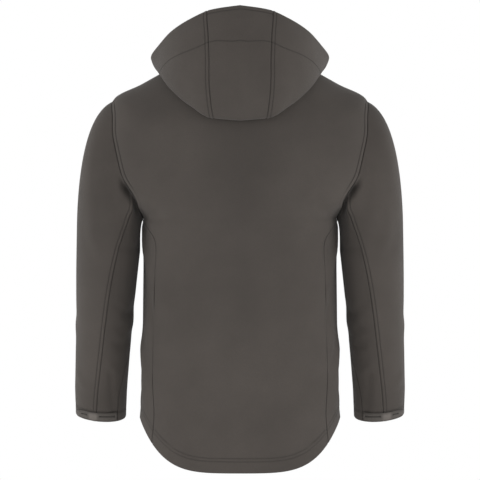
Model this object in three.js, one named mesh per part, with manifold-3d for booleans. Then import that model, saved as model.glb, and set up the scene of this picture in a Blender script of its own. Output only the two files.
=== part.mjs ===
// A hooded softshell jacket, filled out as if worn, with its hood lying down the back.
// Millimetres, +Z up. The wearer faces -Y, and +X is the wearer's left.
// The origin is the middle of the neck hole, level with the high shoulder points.
import * as THREE from "three";
import { mergeVertices } from "three/addons/utils/BufferGeometryUtils.js";
import Module from "manifold-3d";

// Driving dimensions
const CLOTH = 2; // bonded softshell
const COLLAR_CLOTH = 3; // the stand collar is cut double
const TAB_CLOTH = 2.4; // moulded cuff tab
const SEAM_GAP = 0.3; // between neighbouring pieces
const HALF_GAP = SEAM_GAP / 2;
const ARMHOLE_GAP = 0.8; // the sleeve's start from the armhole, along its slanted wall
const COLLAR_GAP = 0.7; // the collar's foot above the sloping neck edge
const HOOD_CLEARANCE = 1.8; // hood above the shoulders and back
const ZIP_OPENING = 8; // each front edge from the centre line
const CHAIN_HALF = 3; // zip chain, half its width
const SLIDER_AT = -0.8; // share of the collar's height where the slider stands
const CHAIN_THICK = 2.6;
const CHAIN_LIFT = -1.7; // the chain's face behind the face of the cloth
const TAPE_HALF = 17; // each zip tape's outer edge from the centre line
const TAPE_CLOTH = 1;
const TAPE_CLEARANCE = 1.4; // zip tape behind the front edges
const TAB_HEIGHT = 17;
const TAB_END_HEIGHT = 9.5; // the tab is narrower at its outer end
const TAB_FULL = 58; // the angle at which it reaches its full height
const TAB_FROM = 14; // the angles round the sleeve where the cuff tab starts and ends
const TAB_TO = 129;
const TAB_LIFT = 0.7; // cuff tab above the sleeve
const TAB_ABOVE_EDGE = 1.5; // cuff tab above the cuff's edge

// Rings of the body from the neck seam to the hem: half width, the Y of the middle, back and
// front, the Z of the side, back and front, and how square the ring is (2 is an ellipse).
const BODY = [
  { at: 0, half: 82, midY: 0, backY: 70, frontY: -86, sideZ: 0, backZ: -14, frontZ: -80, power: 2.0 },
  { at: 1, half: 128, midY: 2, backY: 96, frontY: -107, sideZ: -22, backZ: -54, frontZ: -114, power: 2.05 },
  { at: 2, half: 186, midY: 2, backY: 113, frontY: -125, sideZ: -54, backZ: -100, frontZ: -154, power: 2.15 },
  { at: 3, half: 240, midY: 0, backY: 122, frontY: -137, sideZ: -84, backZ: -148, frontZ: -196, power: 2.25 },
  { at: 4, half: 253, midY: 0, backY: 127, frontY: -144, sideZ: -140, backZ: -195, frontZ: -230, power: 2.3 },
  { at: 5, half: 248, midY: 0, backY: 129, frontY: -147, sideZ: -215, backZ: -240, frontZ: -262, power: 2.35 },
  { at: 6, half: 219, midY: 0, backY: 129, frontY: -148, sideZ: -272, backZ: -278, frontZ: -290, power: 2.35 },
  { at: 7, half: 184, midY: 0, backY: 128, frontY: -148, sideZ: -310, backZ: -313, frontZ: -317, power: 2.35 },
  { at: 8, half: 183.5, midY: 0, backY: 124, frontY: -146, sideZ: -340, backZ: -343, frontZ: -345, power: 2.35 },
  { at: 9, half: 184, midY: 0, backY: 117, frontY: -141, sideZ: -420, backZ: -426, frontZ: -426, power: 2.4 },
  { at: 10, half: 184.5, midY: 0, backY: 112, frontY: -137, sideZ: -505, backZ: -518, frontZ: -514, power: 2.4 },
  { at: 11, half: 186.5, midY: 0, backY: 113, frontY: -137, sideZ: -580, backZ: -612, frontZ: -600, power: 2.4 },
  { at: 12, half: 189, midY: 0, backY: 118, frontY: -140, sideZ: -642, backZ: -704, frontZ: -678, power: 2.35 },
  { at: 13, half: 191, midY: 0, backY: 122, frontY: -142, sideZ: -688, backZ: -783, frontZ: -742, power: 2.1 },
];
const SHOULDER_TIP = 3;
const UNDERARM = 7;

// The side edge of the back and of each front: its Y at each ring. It is the shoulder seam to
// the shoulder tip, the armhole to the underarm, and the side panel's seam to the hem.
const SIDE_EDGE = [
  { at: 0, back: -10, front: -10 },
  { at: 2, back: -12, front: -12 },
  { at: 3, back: -12, front: -12 },
  { at: 3.15, back: 16, front: -33 },
  { at: 3.5, back: 42, front: -54 },
  { at: 4, back: 52, front: -67 },
  { at: 4.5, back: 62.5, front: -80 },
  { at: 5, back: 69, front: -90 },
  { at: 5.5, back: 73, front: -93 },
  { at: 6, back: 72, front: -88 },
  { at: 6.5, back: 48, front: -60 },
  { at: 7, back: 18, front: -20 },
  { at: 7.4, back: 42, front: -42 },
  { at: 7.8, back: 60, front: -60 },
  { at: 8.35, back: 74, front: -78 },
  { at: 9, back: 70, front: -82 },
  { at: 10, back: 64, front: -82 },
  { at: 11, back: 65, front: -84 },
  { at: 12, back: 72, front: -86 },
  { at: 13, back: 64, front: -80 },
];

// Soft folds of the body: from one place to another, given as Y on the side and Z, with the
// width of the fold and how far it stands out (or in, when negative).
const FOLD_FADE = 6; // the power by which they fade away from the sides
const FOLD_START = 0.6; // rings below the underarm over which they set in
const BODY_FOLDS = [
  { y0: 5, z0: -322, y1: 62, z1: -402, width: 11, out: 2.6 },
  { y0: 26, z0: -405, y1: 44, z1: -495, width: 19, out: -2.6 },
  { y0: 14, z0: -548, y1: 52, z1: -640, width: 17, out: 3.4 },
  { y0: -18, z0: -600, y1: 18, z1: -668, width: 16, out: -3.4 },
  { y0: -20, z0: -325, y1: -84, z1: -430, width: 15, out: 2.4 },
  { y0: -40, z0: -520, y1: -78, z1: -640, width: 15, out: 3.2 },
];

// Rings of each sleeve from the armhole's foot to the cuff: the centre and half sizes, the
// height of the centre, and how much the outer side and the front are raised.
const SLEEVE = [
  { at: 1, x: 250, y: -3, half: 60, deep: 79, z: -348, outerUp: 24, frontUp: 0 },
  { at: 2, x: 254.5, y: -7, half: 57, deep: 74, z: -425, outerUp: 14, frontUp: 4 },
  { at: 3, x: 258.5, y: -14, half: 53.5, deep: 68, z: -505, outerUp: 6, frontUp: 9 },
  { at: 4, x: 263, y: -26, half: 51, deep: 61, z: -585, outerUp: 3, frontUp: 12 },
  { at: 5, x: 266, y: -38, half: 49.5, deep: 54, z: -641, outerUp: 3, frontUp: 12 },
  { at: 6, x: 266.5, y: -47, half: 48, deep: 49, z: -684, outerUp: 4, frontUp: 11.5 },
];
const CUFF = 6;

// The sleeve cap: how far it reaches from the armhole and arrives along the sleeve, at the
// underarm and how much more at the shoulder, and the direction in which it leaves.
const CAP = { leave: 26, leaveMore: 150, arrive: 30, arriveMore: 235 };
const CAP_PLAIN = 0.5; // folds fade out over this first share of the cap
const CAP_WAY = { out: 0.93, spread: -0.05, down: 0.38, downMore: 0.29 };

// Where the two seams of a sleeve run: the angle round it, 0 outside, 90 behind, 180 inside.
const SLEEVE_SEAMS = [
  { at: 0, back: 125, front: 222 },
  { at: 0.1, back: 131, front: 221 },
  { at: 0.25, back: 134, front: 219.5 },
  { at: 0.4, back: 131.5, front: 218 },
  { at: 0.6, back: 127, front: 216 },
  { at: 0.8, back: 120.5, front: 214 },
  { at: 1, back: 115, front: 212 },
  { at: 2, back: 103, front: 206 },
  { at: 3, back: 95, front: 196 },
  { at: 3.5, back: 92, front: 182 },
  { at: 4, back: 89, front: 152 },
  { at: 5, back: 85, front: 136 },
  { at: 6, back: 82, front: 133 },
];

// Soft folds of a sleeve: the angle and the ring where each starts and ends. Their widths are
// measured on a sleeve of the radius and spacing of rings given here.
const FOLD_RADIUS = 60;
const FOLD_PITCH = 80;
const SLEEVE_FOLDS = [
  { a0: 118, v0: 1.1, a1: 168, v1: 0.86, width: 9, out: -2.4 },
  { a0: 128, v0: 2.95, a1: 170, v1: 2.5, width: 13, out: -2.6 },
  { a0: 126, v0: 3.4, a1: 170, v1: 3.15, width: 11, out: -2.0 },
  { a0: 150, v0: 3.2, a1: 200, v1: 2.8, width: 15, out: 1.6 },
  { a0: 112, v0: 4.1, a1: 124, v1: 5.5, width: 9, out: -2.2 },
  { a0: 245, v0: 2.7, a1: 290, v1: 3.1, width: 13, out: -2.6 },
];

// The stand collar's top ring, in the body's terms. Its foot is the neck ring.
const COLLAR_TOP = { half: 75, midY: -3, backY: 60, frontY: -81, sideZ: 50, backZ: 42, frontZ: -26 };

// Sections of the hood, by the angle from the centre back: the body ring it hangs down to, the
// rim's distance from the neck's middle and its height, how far the cloth runs on at the
// bottom and rises to the rim, and the lean of the rim inwards.
const HOOD = [
  { at: 0, hangs: 2.45, rim: 122, rimZ: 86, turn: 40, rise: 165, lean: 33 },
  { at: 25, hangs: 2.34, rim: 129, rimZ: 78, turn: 38, rise: 155, lean: 31 },
  { at: 41, hangs: 1.95, rim: 139, rimZ: 63, turn: 30, rise: 125, lean: 28 },
  { at: 58, hangs: 1.6, rim: 150.5, rimZ: 42, turn: 20, rise: 82, lean: 20 },
  { at: 74, hangs: 1.42, rim: 161, rimZ: 16, turn: 12, rise: 44, lean: 6 },
  { at: 90, hangs: 1.36, rim: 170, rimZ: -3, turn: 9, rise: 18, lean: -14 },
  { at: 115, hangs: 1.1, rim: 160, rimZ: -16, turn: 9, rise: 18, lean: -12 },
  { at: 140, hangs: 0.75, rim: 137, rimZ: -42, turn: 8, rise: 15, lean: -5 },
  { at: 165, hangs: 0.42, rim: 112, rimZ: -70, turn: 6, rise: 9, lean: 0 },
];
const HOOD_END = 165;
const HOOD_FOOT = 0.012; // body ring of the hood's foot, just clear of the collar
const HOOD_RADIUS = 120; // about the hood's radius at its long seams

// The hood's two long seams: their angle from the centre back, from the neck seam (0) over
// the bottom (1) to the rim (2).
const HOOD_SEAM = [
  { at: 0, angle: 36 },
  { at: 1, angle: 23.6 },
  { at: 1.25, angle: 21.1 },
  { at: 1.5, angle: 20.3 },
  { at: 1.7, angle: 20.3 },
  { at: 1.85, angle: 22.2 },
  { at: 2, angle: 28 },
];

const CLOTH_COLOUR = 0x57514c;
const TAB_COLOUR = 0x6c6a66;
const ZIP_COLOUR = 0x2e2c2a;
const METAL_COLOUR = 0x8b8b8a;

const radians = THREE.MathUtils.degToRad;
const wasm = await Module();
wasm.setup();

// A monotone cubic through one column of a table, so a form never overshoots its rows.
function column(table, name) {
  const at = table.map((row) => row.at);
  const value = table.map((row) => row[name]);
  const last = at.length - 1;
  const rise = at.slice(1).map((next, i) => (value[i + 1] - value[i]) / (next - at[i]));
  const slope = value.map((_, i) => {
    if (i === 0) return rise[0];
    if (i === last) return rise[last - 1];
    if (rise[i - 1] * rise[i] <= 0) return 0;
    return (2 * rise[i - 1] * rise[i]) / (rise[i - 1] + rise[i]);
  });
  return (x) => {
    const inside = Math.min(Math.max(x, at[0]), at[last]);
    let i = 0;
    while (i < last - 1 && inside > at[i + 1]) i += 1;
    const span = at[i + 1] - at[i];
    const u = (inside - at[i]) / span;
    const toEnd = u * u * (3 - 2 * u);
    return (
      value[i] * (1 - toEnd) +
      value[i + 1] * toEnd +
      span * (slope[i] * u * (1 - u) * (1 - u) - slope[i + 1] * u * u * (1 - u))
    );
  };
}

function columns(table) {
  const names = Object.keys(table[0]).filter((name) => name !== "at");
  return Object.fromEntries(names.map((name) => [name, column(table, name)]));
}

const body = columns(BODY);
const sideEdge = columns(SIDE_EDGE);
const sleeve = columns(SLEEVE);
const sleeveSeam = columns(SLEEVE_SEAMS);
const hood = columns(HOOD);
const hoodSeam = columns(HOOD_SEAM);

// A round-sided ring: the point at an angle, with 0 at the wearer's left and 90 behind.
function ringPoint(ring, angle, square) {
  const c = Math.cos(angle);
  const s = Math.sin(angle);
  const depth = s > 0 ? ring.backY - ring.midY : ring.midY - ring.frontY;
  const sum = Math.abs(c / ring.half) ** square + Math.abs(s / depth) ** square;
  const radius = sum ** (-1 / square);
  const share = Math.min(1, Math.abs(radius * s) / depth);
  const drop = (share * share * (3 - 2 * share)) ** 1.25;
  const endZ = s > 0 ? ring.backZ : ring.frontZ;
  return new THREE.Vector3(
    radius * c,
    ring.midY + radius * s,
    ring.sideZ + (endZ - ring.sideZ) * drop,
  );
}

function bodyRing(at) {
  return Object.fromEntries(Object.entries(body).map(([name, value]) => [name, value(at)]));
}

// The height of a soft fold at a place, for a fold between two other places.
function foldHeight(u, v, fold, u0, v0, u1, v1) {
  const length2 = (u1 - u0) ** 2 + (v1 - v0) ** 2;
  const along = ((u - u0) * (u1 - u0) + (v - v0) * (v1 - v0)) / length2;
  const near = Math.min(Math.max(along, 0), 1);
  const away = Math.hypot(u - u0 - near * (u1 - u0), v - v0 - near * (v1 - v0));
  return fold.out * Math.exp(-((away / fold.width) ** 2));
}

// The angle on a body ring where the cloth is at a given Y on the wearer's left.
function angleAtY(at, y) {
  const ring = bodyRing(at);
  const offset = y - ring.midY;
  const depth = offset > 0 ? ring.backY - ring.midY : ring.midY - ring.frontY;
  const x = ring.half * (1 - Math.abs(offset / depth) ** ring.power) ** (1 / ring.power);
  return Math.atan2(offset, x);
}

function bodyPoint(at, angle) {
  const ring = bodyRing(at);
  const point = ringPoint(ring, angle, ring.power);
  if (at > UNDERARM) {
    const outward = new THREE.Vector3(Math.cos(angle), Math.sin(angle), 0);
    const start = Math.min(1, (at - UNDERARM) / FOLD_START);
    let height = 0;
    for (const fold of BODY_FOLDS)
      height += foldHeight(point.y, point.z, fold, fold.y0, fold.z0, fold.y1, fold.z1);
    const side = Math.abs(point.x) / ring.half;
    point.addScaledVector(outward, height * start * side ** FOLD_FADE);
  }
  return point;
}

// The armhole on the wearer's left, from the shoulder tip down the back or front edge to the
// middle of the underarm, as places evenly spaced along it.
function armholeHalf(edge) {
  const points = [];
  const steps = 120;
  for (let i = 0; i <= steps; i += 1) {
    const at = SHOULDER_TIP + ((UNDERARM - SHOULDER_TIP) * i) / steps;
    points.push(bodyPoint(at, angleAtY(at, edge(at))));
  }
  const foot = angleAtY(UNDERARM, edge(UNDERARM));
  const footSteps = 12;
  for (let i = 1; i <= footSteps; i += 1)
    points.push(bodyPoint(UNDERARM, foot * (1 - i / footSteps)));
  const reach = [0];
  for (let i = 1; i < points.length; i += 1)
    reach.push(reach[i - 1] + points[i].distanceTo(points[i - 1]));
  const total = reach[reach.length - 1];
  return (share) => {
    const wanted = Math.min(Math.max(share, 0), 1) * total;
    let i = 1;
    while (i < reach.length - 1 && reach[i] < wanted) i += 1;
    const u = (wanted - reach[i - 1]) / (reach[i] - reach[i - 1]);
    return points[i - 1].clone().lerp(points[i], u);
  };
}
const armholeBack = armholeHalf(sideEdge.back);
const armholeFront = armholeHalf(sideEdge.front);

function armholePoint(angle) {
  const turn = ((angle % (2 * Math.PI)) + 2 * Math.PI) % (2 * Math.PI);
  return turn <= Math.PI ? armholeBack(turn / Math.PI) : armholeFront(2 - turn / Math.PI);
}

function sleeveRing(at, angle) {
  const c = Math.cos(angle);
  const s = Math.sin(angle);
  return new THREE.Vector3(
    sleeve.x(at) + sleeve.half(at) * c,
    sleeve.y(at) + sleeve.deep(at) * s,
    sleeve.z(at) + sleeve.outerUp(at) * c - sleeve.frontUp(at) * s,
  );
}

// How strongly the sleeve cap leaves the armhole: far at the shoulder, little at the underarm.
function capReach(angle) {
  return CAP.leave + (CAP.leaveMore * (1 + Math.cos(angle))) / 2;
}

// A sleeve on the wearer's left: its cap runs from the armhole (0) to the first ring (1),
// leaving the armhole outwards and down and arriving along the sleeve.
function sleevePoint(at, angle) {
  let point;
  if (at < 1) {
    const start = armholePoint(angle);
    const end = sleeveRing(1, angle);
    const top = (1 + Math.cos(angle)) / 2;
    const down = CAP_WAY.down + CAP_WAY.downMore * (1 - top);
    const leave = new THREE.Vector3(CAP_WAY.out, CAP_WAY.spread * Math.sin(angle), -down);
    leave.multiplyScalar(capReach(angle));
    const arrive = sleeveRing(1.02, angle).sub(end).normalize();
    arrive.multiplyScalar(CAP.arrive + CAP.arriveMore * top);
    const u = at;
    point = start
      .clone()
      .multiplyScalar(1 - 3 * u * u + 2 * u * u * u)
      .addScaledVector(end, 3 * u * u - 2 * u * u * u)
      .addScaledVector(leave, u - 2 * u * u + u * u * u)
      .addScaledVector(arrive, u * u * u - u * u);
  } else {
    point = sleeveRing(at, angle);
  }
  const turn = ((angle % (2 * Math.PI)) + 2 * Math.PI) % (2 * Math.PI);
  const around = turn * FOLD_RADIUS;
  const along = at * FOLD_PITCH;
  let height = 0;
  for (const fold of SLEEVE_FOLDS)
    height += foldHeight(
      around,
      along,
      fold,
      radians(fold.a0) * FOLD_RADIUS,
      fold.v0 * FOLD_PITCH,
      radians(fold.a1) * FOLD_RADIUS,
      fold.v1 * FOLD_PITCH,
    );
  const free = Math.min(1, at / CAP_PLAIN);
  point.x += height * free * Math.cos(angle);
  point.y += height * free * Math.sin(angle);
  return point;
}

function collarPoint(at, angle) {
  const neck = bodyRing(0);
  const ring = {};
  for (const name of Object.keys(COLLAR_TOP))
    ring[name] = neck[name] + (COLLAR_TOP[name] - neck[name]) * at;
  return ringPoint(ring, angle, 2);
}

// The hood's face side. The angle is from the centre back towards the wearer's left; at runs
// from the neck seam (0) along the back to the bottom (1), and up the outside to the rim (2).
function hoodPoint(at, fromBack) {
  const side = Math.abs(fromBack);
  const degrees = THREE.MathUtils.radToDeg(side);
  const angle = Math.PI / 2 - fromBack;
  const hangs = hood.hangs(degrees);
  const lying = (share) => {
    const ring = HOOD_FOOT + (hangs - HOOD_FOOT) * share;
    const point = bodyPoint(ring, angle);
    return point.addScaledVector(normalAt(bodyPoint, ring, angle), HOOD_CLEARANCE);
  };
  if (at <= 1) return lying(at);
  const bottom = lying(1);
  const on = bottom.clone().sub(lying(0.96)).normalize();
  const outward = new THREE.Vector3(Math.cos(angle), Math.sin(angle), 0);
  const rim = outward.clone().multiplyScalar(hood.rim(degrees));
  rim.z = hood.rimZ(degrees);
  const lean = radians(hood.lean(degrees));
  const arrive = outward.clone().multiplyScalar(-Math.sin(lean));
  arrive.z = Math.cos(lean);
  const u = at - 1;
  const first = bottom.clone().addScaledVector(on, hood.turn(degrees));
  const second = rim.clone().addScaledVector(arrive, -hood.rise(degrees));
  return bottom
    .multiplyScalar((1 - u) ** 3)
    .addScaledVector(first, 3 * u * (1 - u) ** 2)
    .addScaledVector(second, 3 * u * u * (1 - u))
    .addScaledVector(rim, u ** 3);
}

// The unit normal of a surface, pointing to its face side.
function normalAt(surface, a, b) {
  const step = 1e-3;
  const alongA = surface(a + step, b).sub(surface(a - step, b));
  const alongB = surface(a, b + step).sub(surface(a, b - step));
  return alongA.cross(alongB).normalize();
}

// A closed wall over a grid of places on a surface. place(i, j) gives the two parameters; the
// wall lies between the face, moved out by lift, and lift - thick. flip is for a surface
// whose normal points in, and mirror makes the wearer's right-hand piece.
function wall({ surface, rows, cols, place, thick, lift = 0, flip = false, mirror = false, shift = 0 }) {
  const position = [];
  const index = [];
  const out = flip ? -1 : 1;
  const width = cols + 1;
  for (const depth of [lift, lift - thick]) {
    for (let i = 0; i <= rows; i += 1) {
      for (let j = 0; j <= cols; j += 1) {
        const [a, b] = place(i, j);
        const point = surface(a, b);
        point.addScaledVector(normalAt(surface, a, b), out * depth);
        position.push(mirror ? -point.x : point.x, point.y, point.z + shift);
      }
    }
  }
  const inner = (rows + 1) * width;
  const turned = flip !== mirror;
  const quad = (a, b, c, d) => {
    if (turned) index.push(a, c, b, a, d, c);
    else index.push(a, b, c, a, c, d);
  };
  const span = (a, b) =>
    Math.hypot(
      position[3 * a] - position[3 * b],
      position[3 * a + 1] - position[3 * b + 1],
      position[3 * a + 2] - position[3 * b + 2],
    );
  for (let i = 0; i < rows; i += 1) {
    for (let j = 0; j < cols; j += 1) {
      const a = i * width + j;
      const [b, c, d] = [a + width, a + width + 1, a + 1];
      if (span(a, c) < span(b, d)) {
        quad(a, b, c, d);
        quad(inner + a, inner + d, inner + c, inner + b);
      } else {
        quad(b, c, d, a);
        quad(inner + d, inner + c, inner + b, inner + a);
      }
    }
  }
  for (let i = 0; i < rows; i += 1) {
    const a = i * width;
    const b = a + cols;
    quad(a, inner + a, inner + a + width, a + width);
    quad(b, b + width, inner + b + width, inner + b);
  }
  for (let j = 0; j < cols; j += 1) {
    const b = rows * width + j;
    quad(j, j + 1, inner + j + 1, inner + j);
    quad(b, inner + b, inner + b + 1, b + 1);
  }
  const geometry = new THREE.BufferGeometry();
  geometry.setAttribute("position", new THREE.Float32BufferAttribute(position, 3));
  geometry.setIndex(index);
  geometry.computeVertexNormals();
  return geometry;
}

const clothFinish = new THREE.MeshStandardMaterial({ color: CLOTH_COLOUR, roughness: 0.85, metalness: 0 });
const tabFinish = new THREE.MeshStandardMaterial({ color: TAB_COLOUR, roughness: 0.6, metalness: 0 });
const zipFinish = new THREE.MeshStandardMaterial({ color: ZIP_COLOUR, roughness: 0.6, metalness: 0 });
const metalFinish = new THREE.MeshStandardMaterial({ color: METAL_COLOUR, roughness: 0.35, metalness: 0.9 });

const jacket = new THREE.Group();

function add(name, geometry, finish) {
  const mesh = new THREE.Mesh(geometry, finish);
  mesh.name = name;
  jacket.add(mesh);
  return mesh;
}

// The angle that a short arc takes at a ring's radius.
function arcAngle(at, angle, length) {
  const point = bodyPoint(at, angle);
  return length / Math.hypot(point.x, point.y);
}

const BODY_ROWS = [
  0, 0.4, 0.8, 1.2, 1.6, 2, 2.5, 3, 3.15, 3.32, 3.5, 3.75, 4, 4.5, 5, 5.5, 6, 6.5, 7, 7.4, 7.8, 8.35,
  8.8, 9.3, 9.8, 10.2, 10.6, 11, 11.4, 11.8, 12.2, 12.6, 13,
];
const PANEL_ROWS = BODY_ROWS.filter((at) => at >= UNDERARM);
const SLEEVE_ROWS = [
  0, 0.12, 0.25, 0.4, 0.55, 0.7, 0.85, 1, 1.4, 1.8, 2.2, 2.5, 2.8, 3.1, 3.4, 3.8, 4.2, 4.7, 5.2, 5.6, 6,
];

function backPanel() {
  const cols = 18;
  return wall({
    surface: bodyPoint,
    rows: BODY_ROWS.length - 1,
    cols,
    thick: CLOTH,
    place: (i, j) => {
      const at = BODY_ROWS[i];
      const edge = angleAtY(at, sideEdge.back(at));
      const from = edge + arcAngle(at, edge, HALF_GAP);
      return [at, from + ((Math.PI - 2 * from) * j) / cols];
    },
  });
}

// The angle on the front where the cloth is a given distance left of the centre line.
function angleAtFrontX(at, x) {
  const point = bodyPoint(at, -Math.PI / 2);
  return -Math.PI / 2 + Math.asin(x / Math.abs(point.y));
}

function frontPanel(mirror) {
  const cols = 9;
  return wall({
    surface: bodyPoint,
    rows: BODY_ROWS.length - 1,
    cols,
    thick: CLOTH,
    mirror,
    place: (i, j) => {
      const at = BODY_ROWS[i];
      const edge = angleAtY(at, sideEdge.front(at));
      const to = edge - arcAngle(at, edge, HALF_GAP);
      const from = angleAtFrontX(at, ZIP_OPENING);
      return [at, from + ((to - from) * j) / cols];
    },
  });
}

function sidePanel(mirror) {
  const cols = 8;
  return wall({
    surface: bodyPoint,
    rows: PANEL_ROWS.length - 1,
    cols,
    thick: CLOTH,
    mirror,
    place: (i, j) => {
      const at = PANEL_ROWS[i];
      const back = angleAtY(at, sideEdge.back(at));
      const front = angleAtY(at, sideEdge.front(at));
      const to = back - arcAngle(at, back, HALF_GAP);
      const from = front + arcAngle(at, front, HALF_GAP);
      return [at, from + ((to - from) * j) / cols];
    },
  });
}

// A sleeve panel between two of its seams. The sleeve starts just clear of the armhole.
function sleevePanel(upper, mirror) {
  const cols = upper ? 16 : 6;
  const turn = 2 * Math.PI;
  return wall({
    surface: sleevePoint,
    rows: SLEEVE_ROWS.length - 1,
    cols,
    thick: CLOTH,
    mirror,
    place: (i, j) => {
      const row = SLEEVE_ROWS[i];
      const gap = HALF_GAP / sleeve.half(Math.max(row, 1));
      const back = radians(sleeveSeam.back(row));
      const front = radians(sleeveSeam.front(row));
      const from = upper ? front + gap - turn : back + gap;
      const to = upper ? back - gap : front - gap;
      const angle = from + ((to - from) * j) / cols;
      return [row === 0 ? ARMHOLE_GAP / capReach(angle) : row, angle];
    },
  });
}

function collarBand() {
  const cols = 30;
  const rows = 4;
  const front = Math.asin(ZIP_OPENING / Math.abs(body.frontY(0)));
  return wall({
    surface: collarPoint,
    rows,
    cols,
    thick: COLLAR_CLOTH,
    flip: true,
    shift: COLLAR_GAP,
    place: (i, j) => {
      const from = -Math.PI / 2 + front;
      return [i / rows, from + ((2 * Math.PI - 2 * front) * j) / cols];
    },
  });
}

const HOOD_ROWS = [
  ...[0, 0.25, 0.5, 0.75, 0.92],
  ...[1, 1.08, 1.16, 1.26, 1.36, 1.46, 1.56, 1.66, 1.76, 1.88, 2],
];

function hoodCentre() {
  const cols = 8;
  return wall({
    surface: hoodPoint,
    rows: HOOD_ROWS.length - 1,
    cols,
    thick: CLOTH,
    place: (i, j) => {
      const at = HOOD_ROWS[i];
      const edge = radians(hoodSeam.angle(at)) - HALF_GAP / HOOD_RADIUS;
      return [at, -edge + (2 * edge * j) / cols];
    },
  });
}

function hoodSide(mirror) {
  const cols = 15;
  return wall({
    surface: hoodPoint,
    rows: HOOD_ROWS.length - 1,
    cols,
    thick: CLOTH,
    mirror,
    place: (i, j) => {
      const at = HOOD_ROWS[i];
      const from = radians(hoodSeam.angle(at)) + HALF_GAP / HOOD_RADIUS;
      return [at, from + ((radians(HOOD_END) - from) * j) / cols];
    },
  });
}

// The cuff tab follows the back of the cuff, from the sleeve's front seam to the outside.
function cuffTab(mirror) {
  const cols = 12;
  const rows = 2;
  const perRing = sleeve.z(CUFF - 1) - sleeve.z(CUFF);
  const low = CUFF - TAB_ABOVE_EDGE / perRing;
  const from = radians(TAB_FROM);
  const to = radians(TAB_TO);
  return wall({
    surface: sleevePoint,
    rows,
    cols,
    thick: TAB_CLOTH,
    lift: TAB_LIFT + TAB_CLOTH,
    mirror,
    place: (i, j) => {
      const angle = from + ((to - from) * j) / cols;
      const share = THREE.MathUtils.smoothstep(THREE.MathUtils.radToDeg(angle), TAB_FROM, TAB_FULL);
      const tall = TAB_END_HEIGHT + (TAB_HEIGHT - TAB_END_HEIGHT) * share;
      return [low - ((1 - i / rows) * tall) / perRing, angle];
    },
  });
}

// The front surface that the zip follows, at a distance left of the centre line, from the
// collar's top (-1) past the neck seam (0) to the hem.
function frontPoint(at, x) {
  if (at >= 0) return bodyPoint(at, angleAtFrontX(at, x));
  const centre = collarPoint(-at, -Math.PI / 2);
  return collarPoint(-at, -Math.PI / 2 + Math.asin(x / Math.abs(centre.y)));
}

const ZIP_ROWS = [-0.97, -0.6, -0.2, 0, 0.3, 0.7, 1.2, 2, 3, 4.5, 6, 8, 9, 10, 11, 12, 12.96];

const COLLAR_START = 0.2; // share of the collar's height over which the tape sinks in

// The zip tape's face, behind the front edges and further in behind the double collar.
function tapePoint(at, x) {
  const collarShare = Math.min(Math.max(-at / COLLAR_START, 0), 1);
  const depth = CLOTH + (COLLAR_CLOTH - CLOTH) * collarShare + TAPE_CLEARANCE;
  return frontPoint(at, x).addScaledVector(normalAt(frontPoint, at, x), -depth);
}

function zipStrip(surface, from, to, thick, lift, mirror) {
  return wall({
    surface,
    rows: ZIP_ROWS.length - 1,
    cols: 2,
    thick,
    lift,
    mirror,
    place: (i, j) => [ZIP_ROWS[i], from + ((to - from) * j) / 2],
  });
}

// A solid from a closed outline drawn in the YZ plane and as wide as given along X.
function blockAcross(outline, width) {
  const options = { depth: width, bevelEnabled: false, curveSegments: ARC_STEPS };
  const geometry = new THREE.ExtrudeGeometry(outline, options);
  geometry.translate(0, 0, -width / 2);
  return geometry.applyMatrix4(new THREE.Matrix4().set(0, 0, 1, 0, 1, 0, 0, 0, 0, 1, 0, 0, 0, 0, 0, 1));
}

function solidOf(geometry) {
  const plain = geometry.index ? geometry.toNonIndexed() : geometry.clone();
  plain.deleteAttribute("normal");
  plain.deleteAttribute("uv");
  const merged = mergeVertices(plain, 1e-4);
  return new wasm.Manifold(
    new wasm.Mesh({
      numProp: 3,
      vertProperties: merged.attributes.position.array,
      triVerts: new Uint32Array(merged.index.array),
    }),
  );
}

function geometryOf(solid) {
  const mesh = solid.getMesh();
  const geometry = new THREE.BufferGeometry();
  geometry.setAttribute("position", new THREE.Float32BufferAttribute(mesh.vertProperties, 3));
  geometry.setIndex([...mesh.triVerts]);
  geometry.computeVertexNormals();
  return geometry;
}

// Slider and pull tab, drawn upright with the plate's front at y = 0 and the pull's pin at z = 0.
const SLIDER = { width: 10, tall: 15, plate: 2.2, pinOut: 2.4, arch: 1.8, archIn: 1.45, archOut: 3 };
const ARC_STEPS = 8;
const PULL = { width: 7, tall: 30, thick: 1.4, bar: 1.6, window: 3.4, windowTall: 5.4 };

function sliderBody() {
  const plate = new THREE.BoxGeometry(SLIDER.width, SLIDER.plate, SLIDER.tall);
  plate.translate(0, SLIDER.plate / 2, -1);
  const outline = new THREE.Shape();
  outline.moveTo(0.6, -SLIDER.archOut);
  outline.lineTo(-SLIDER.pinOut, -SLIDER.archOut);
  outline.absarc(-SLIDER.pinOut, 0, SLIDER.archOut, -Math.PI / 2, Math.PI / 2, true);
  outline.lineTo(0.6, SLIDER.archOut);
  outline.closePath();
  const eye = new THREE.Path();
  eye.absarc(-SLIDER.pinOut, 0, SLIDER.archIn, 0, 2 * Math.PI, false);
  outline.holes.push(eye);
  return geometryOf(solidOf(plate).add(solidOf(blockAcross(outline, SLIDER.arch))));
}

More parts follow.
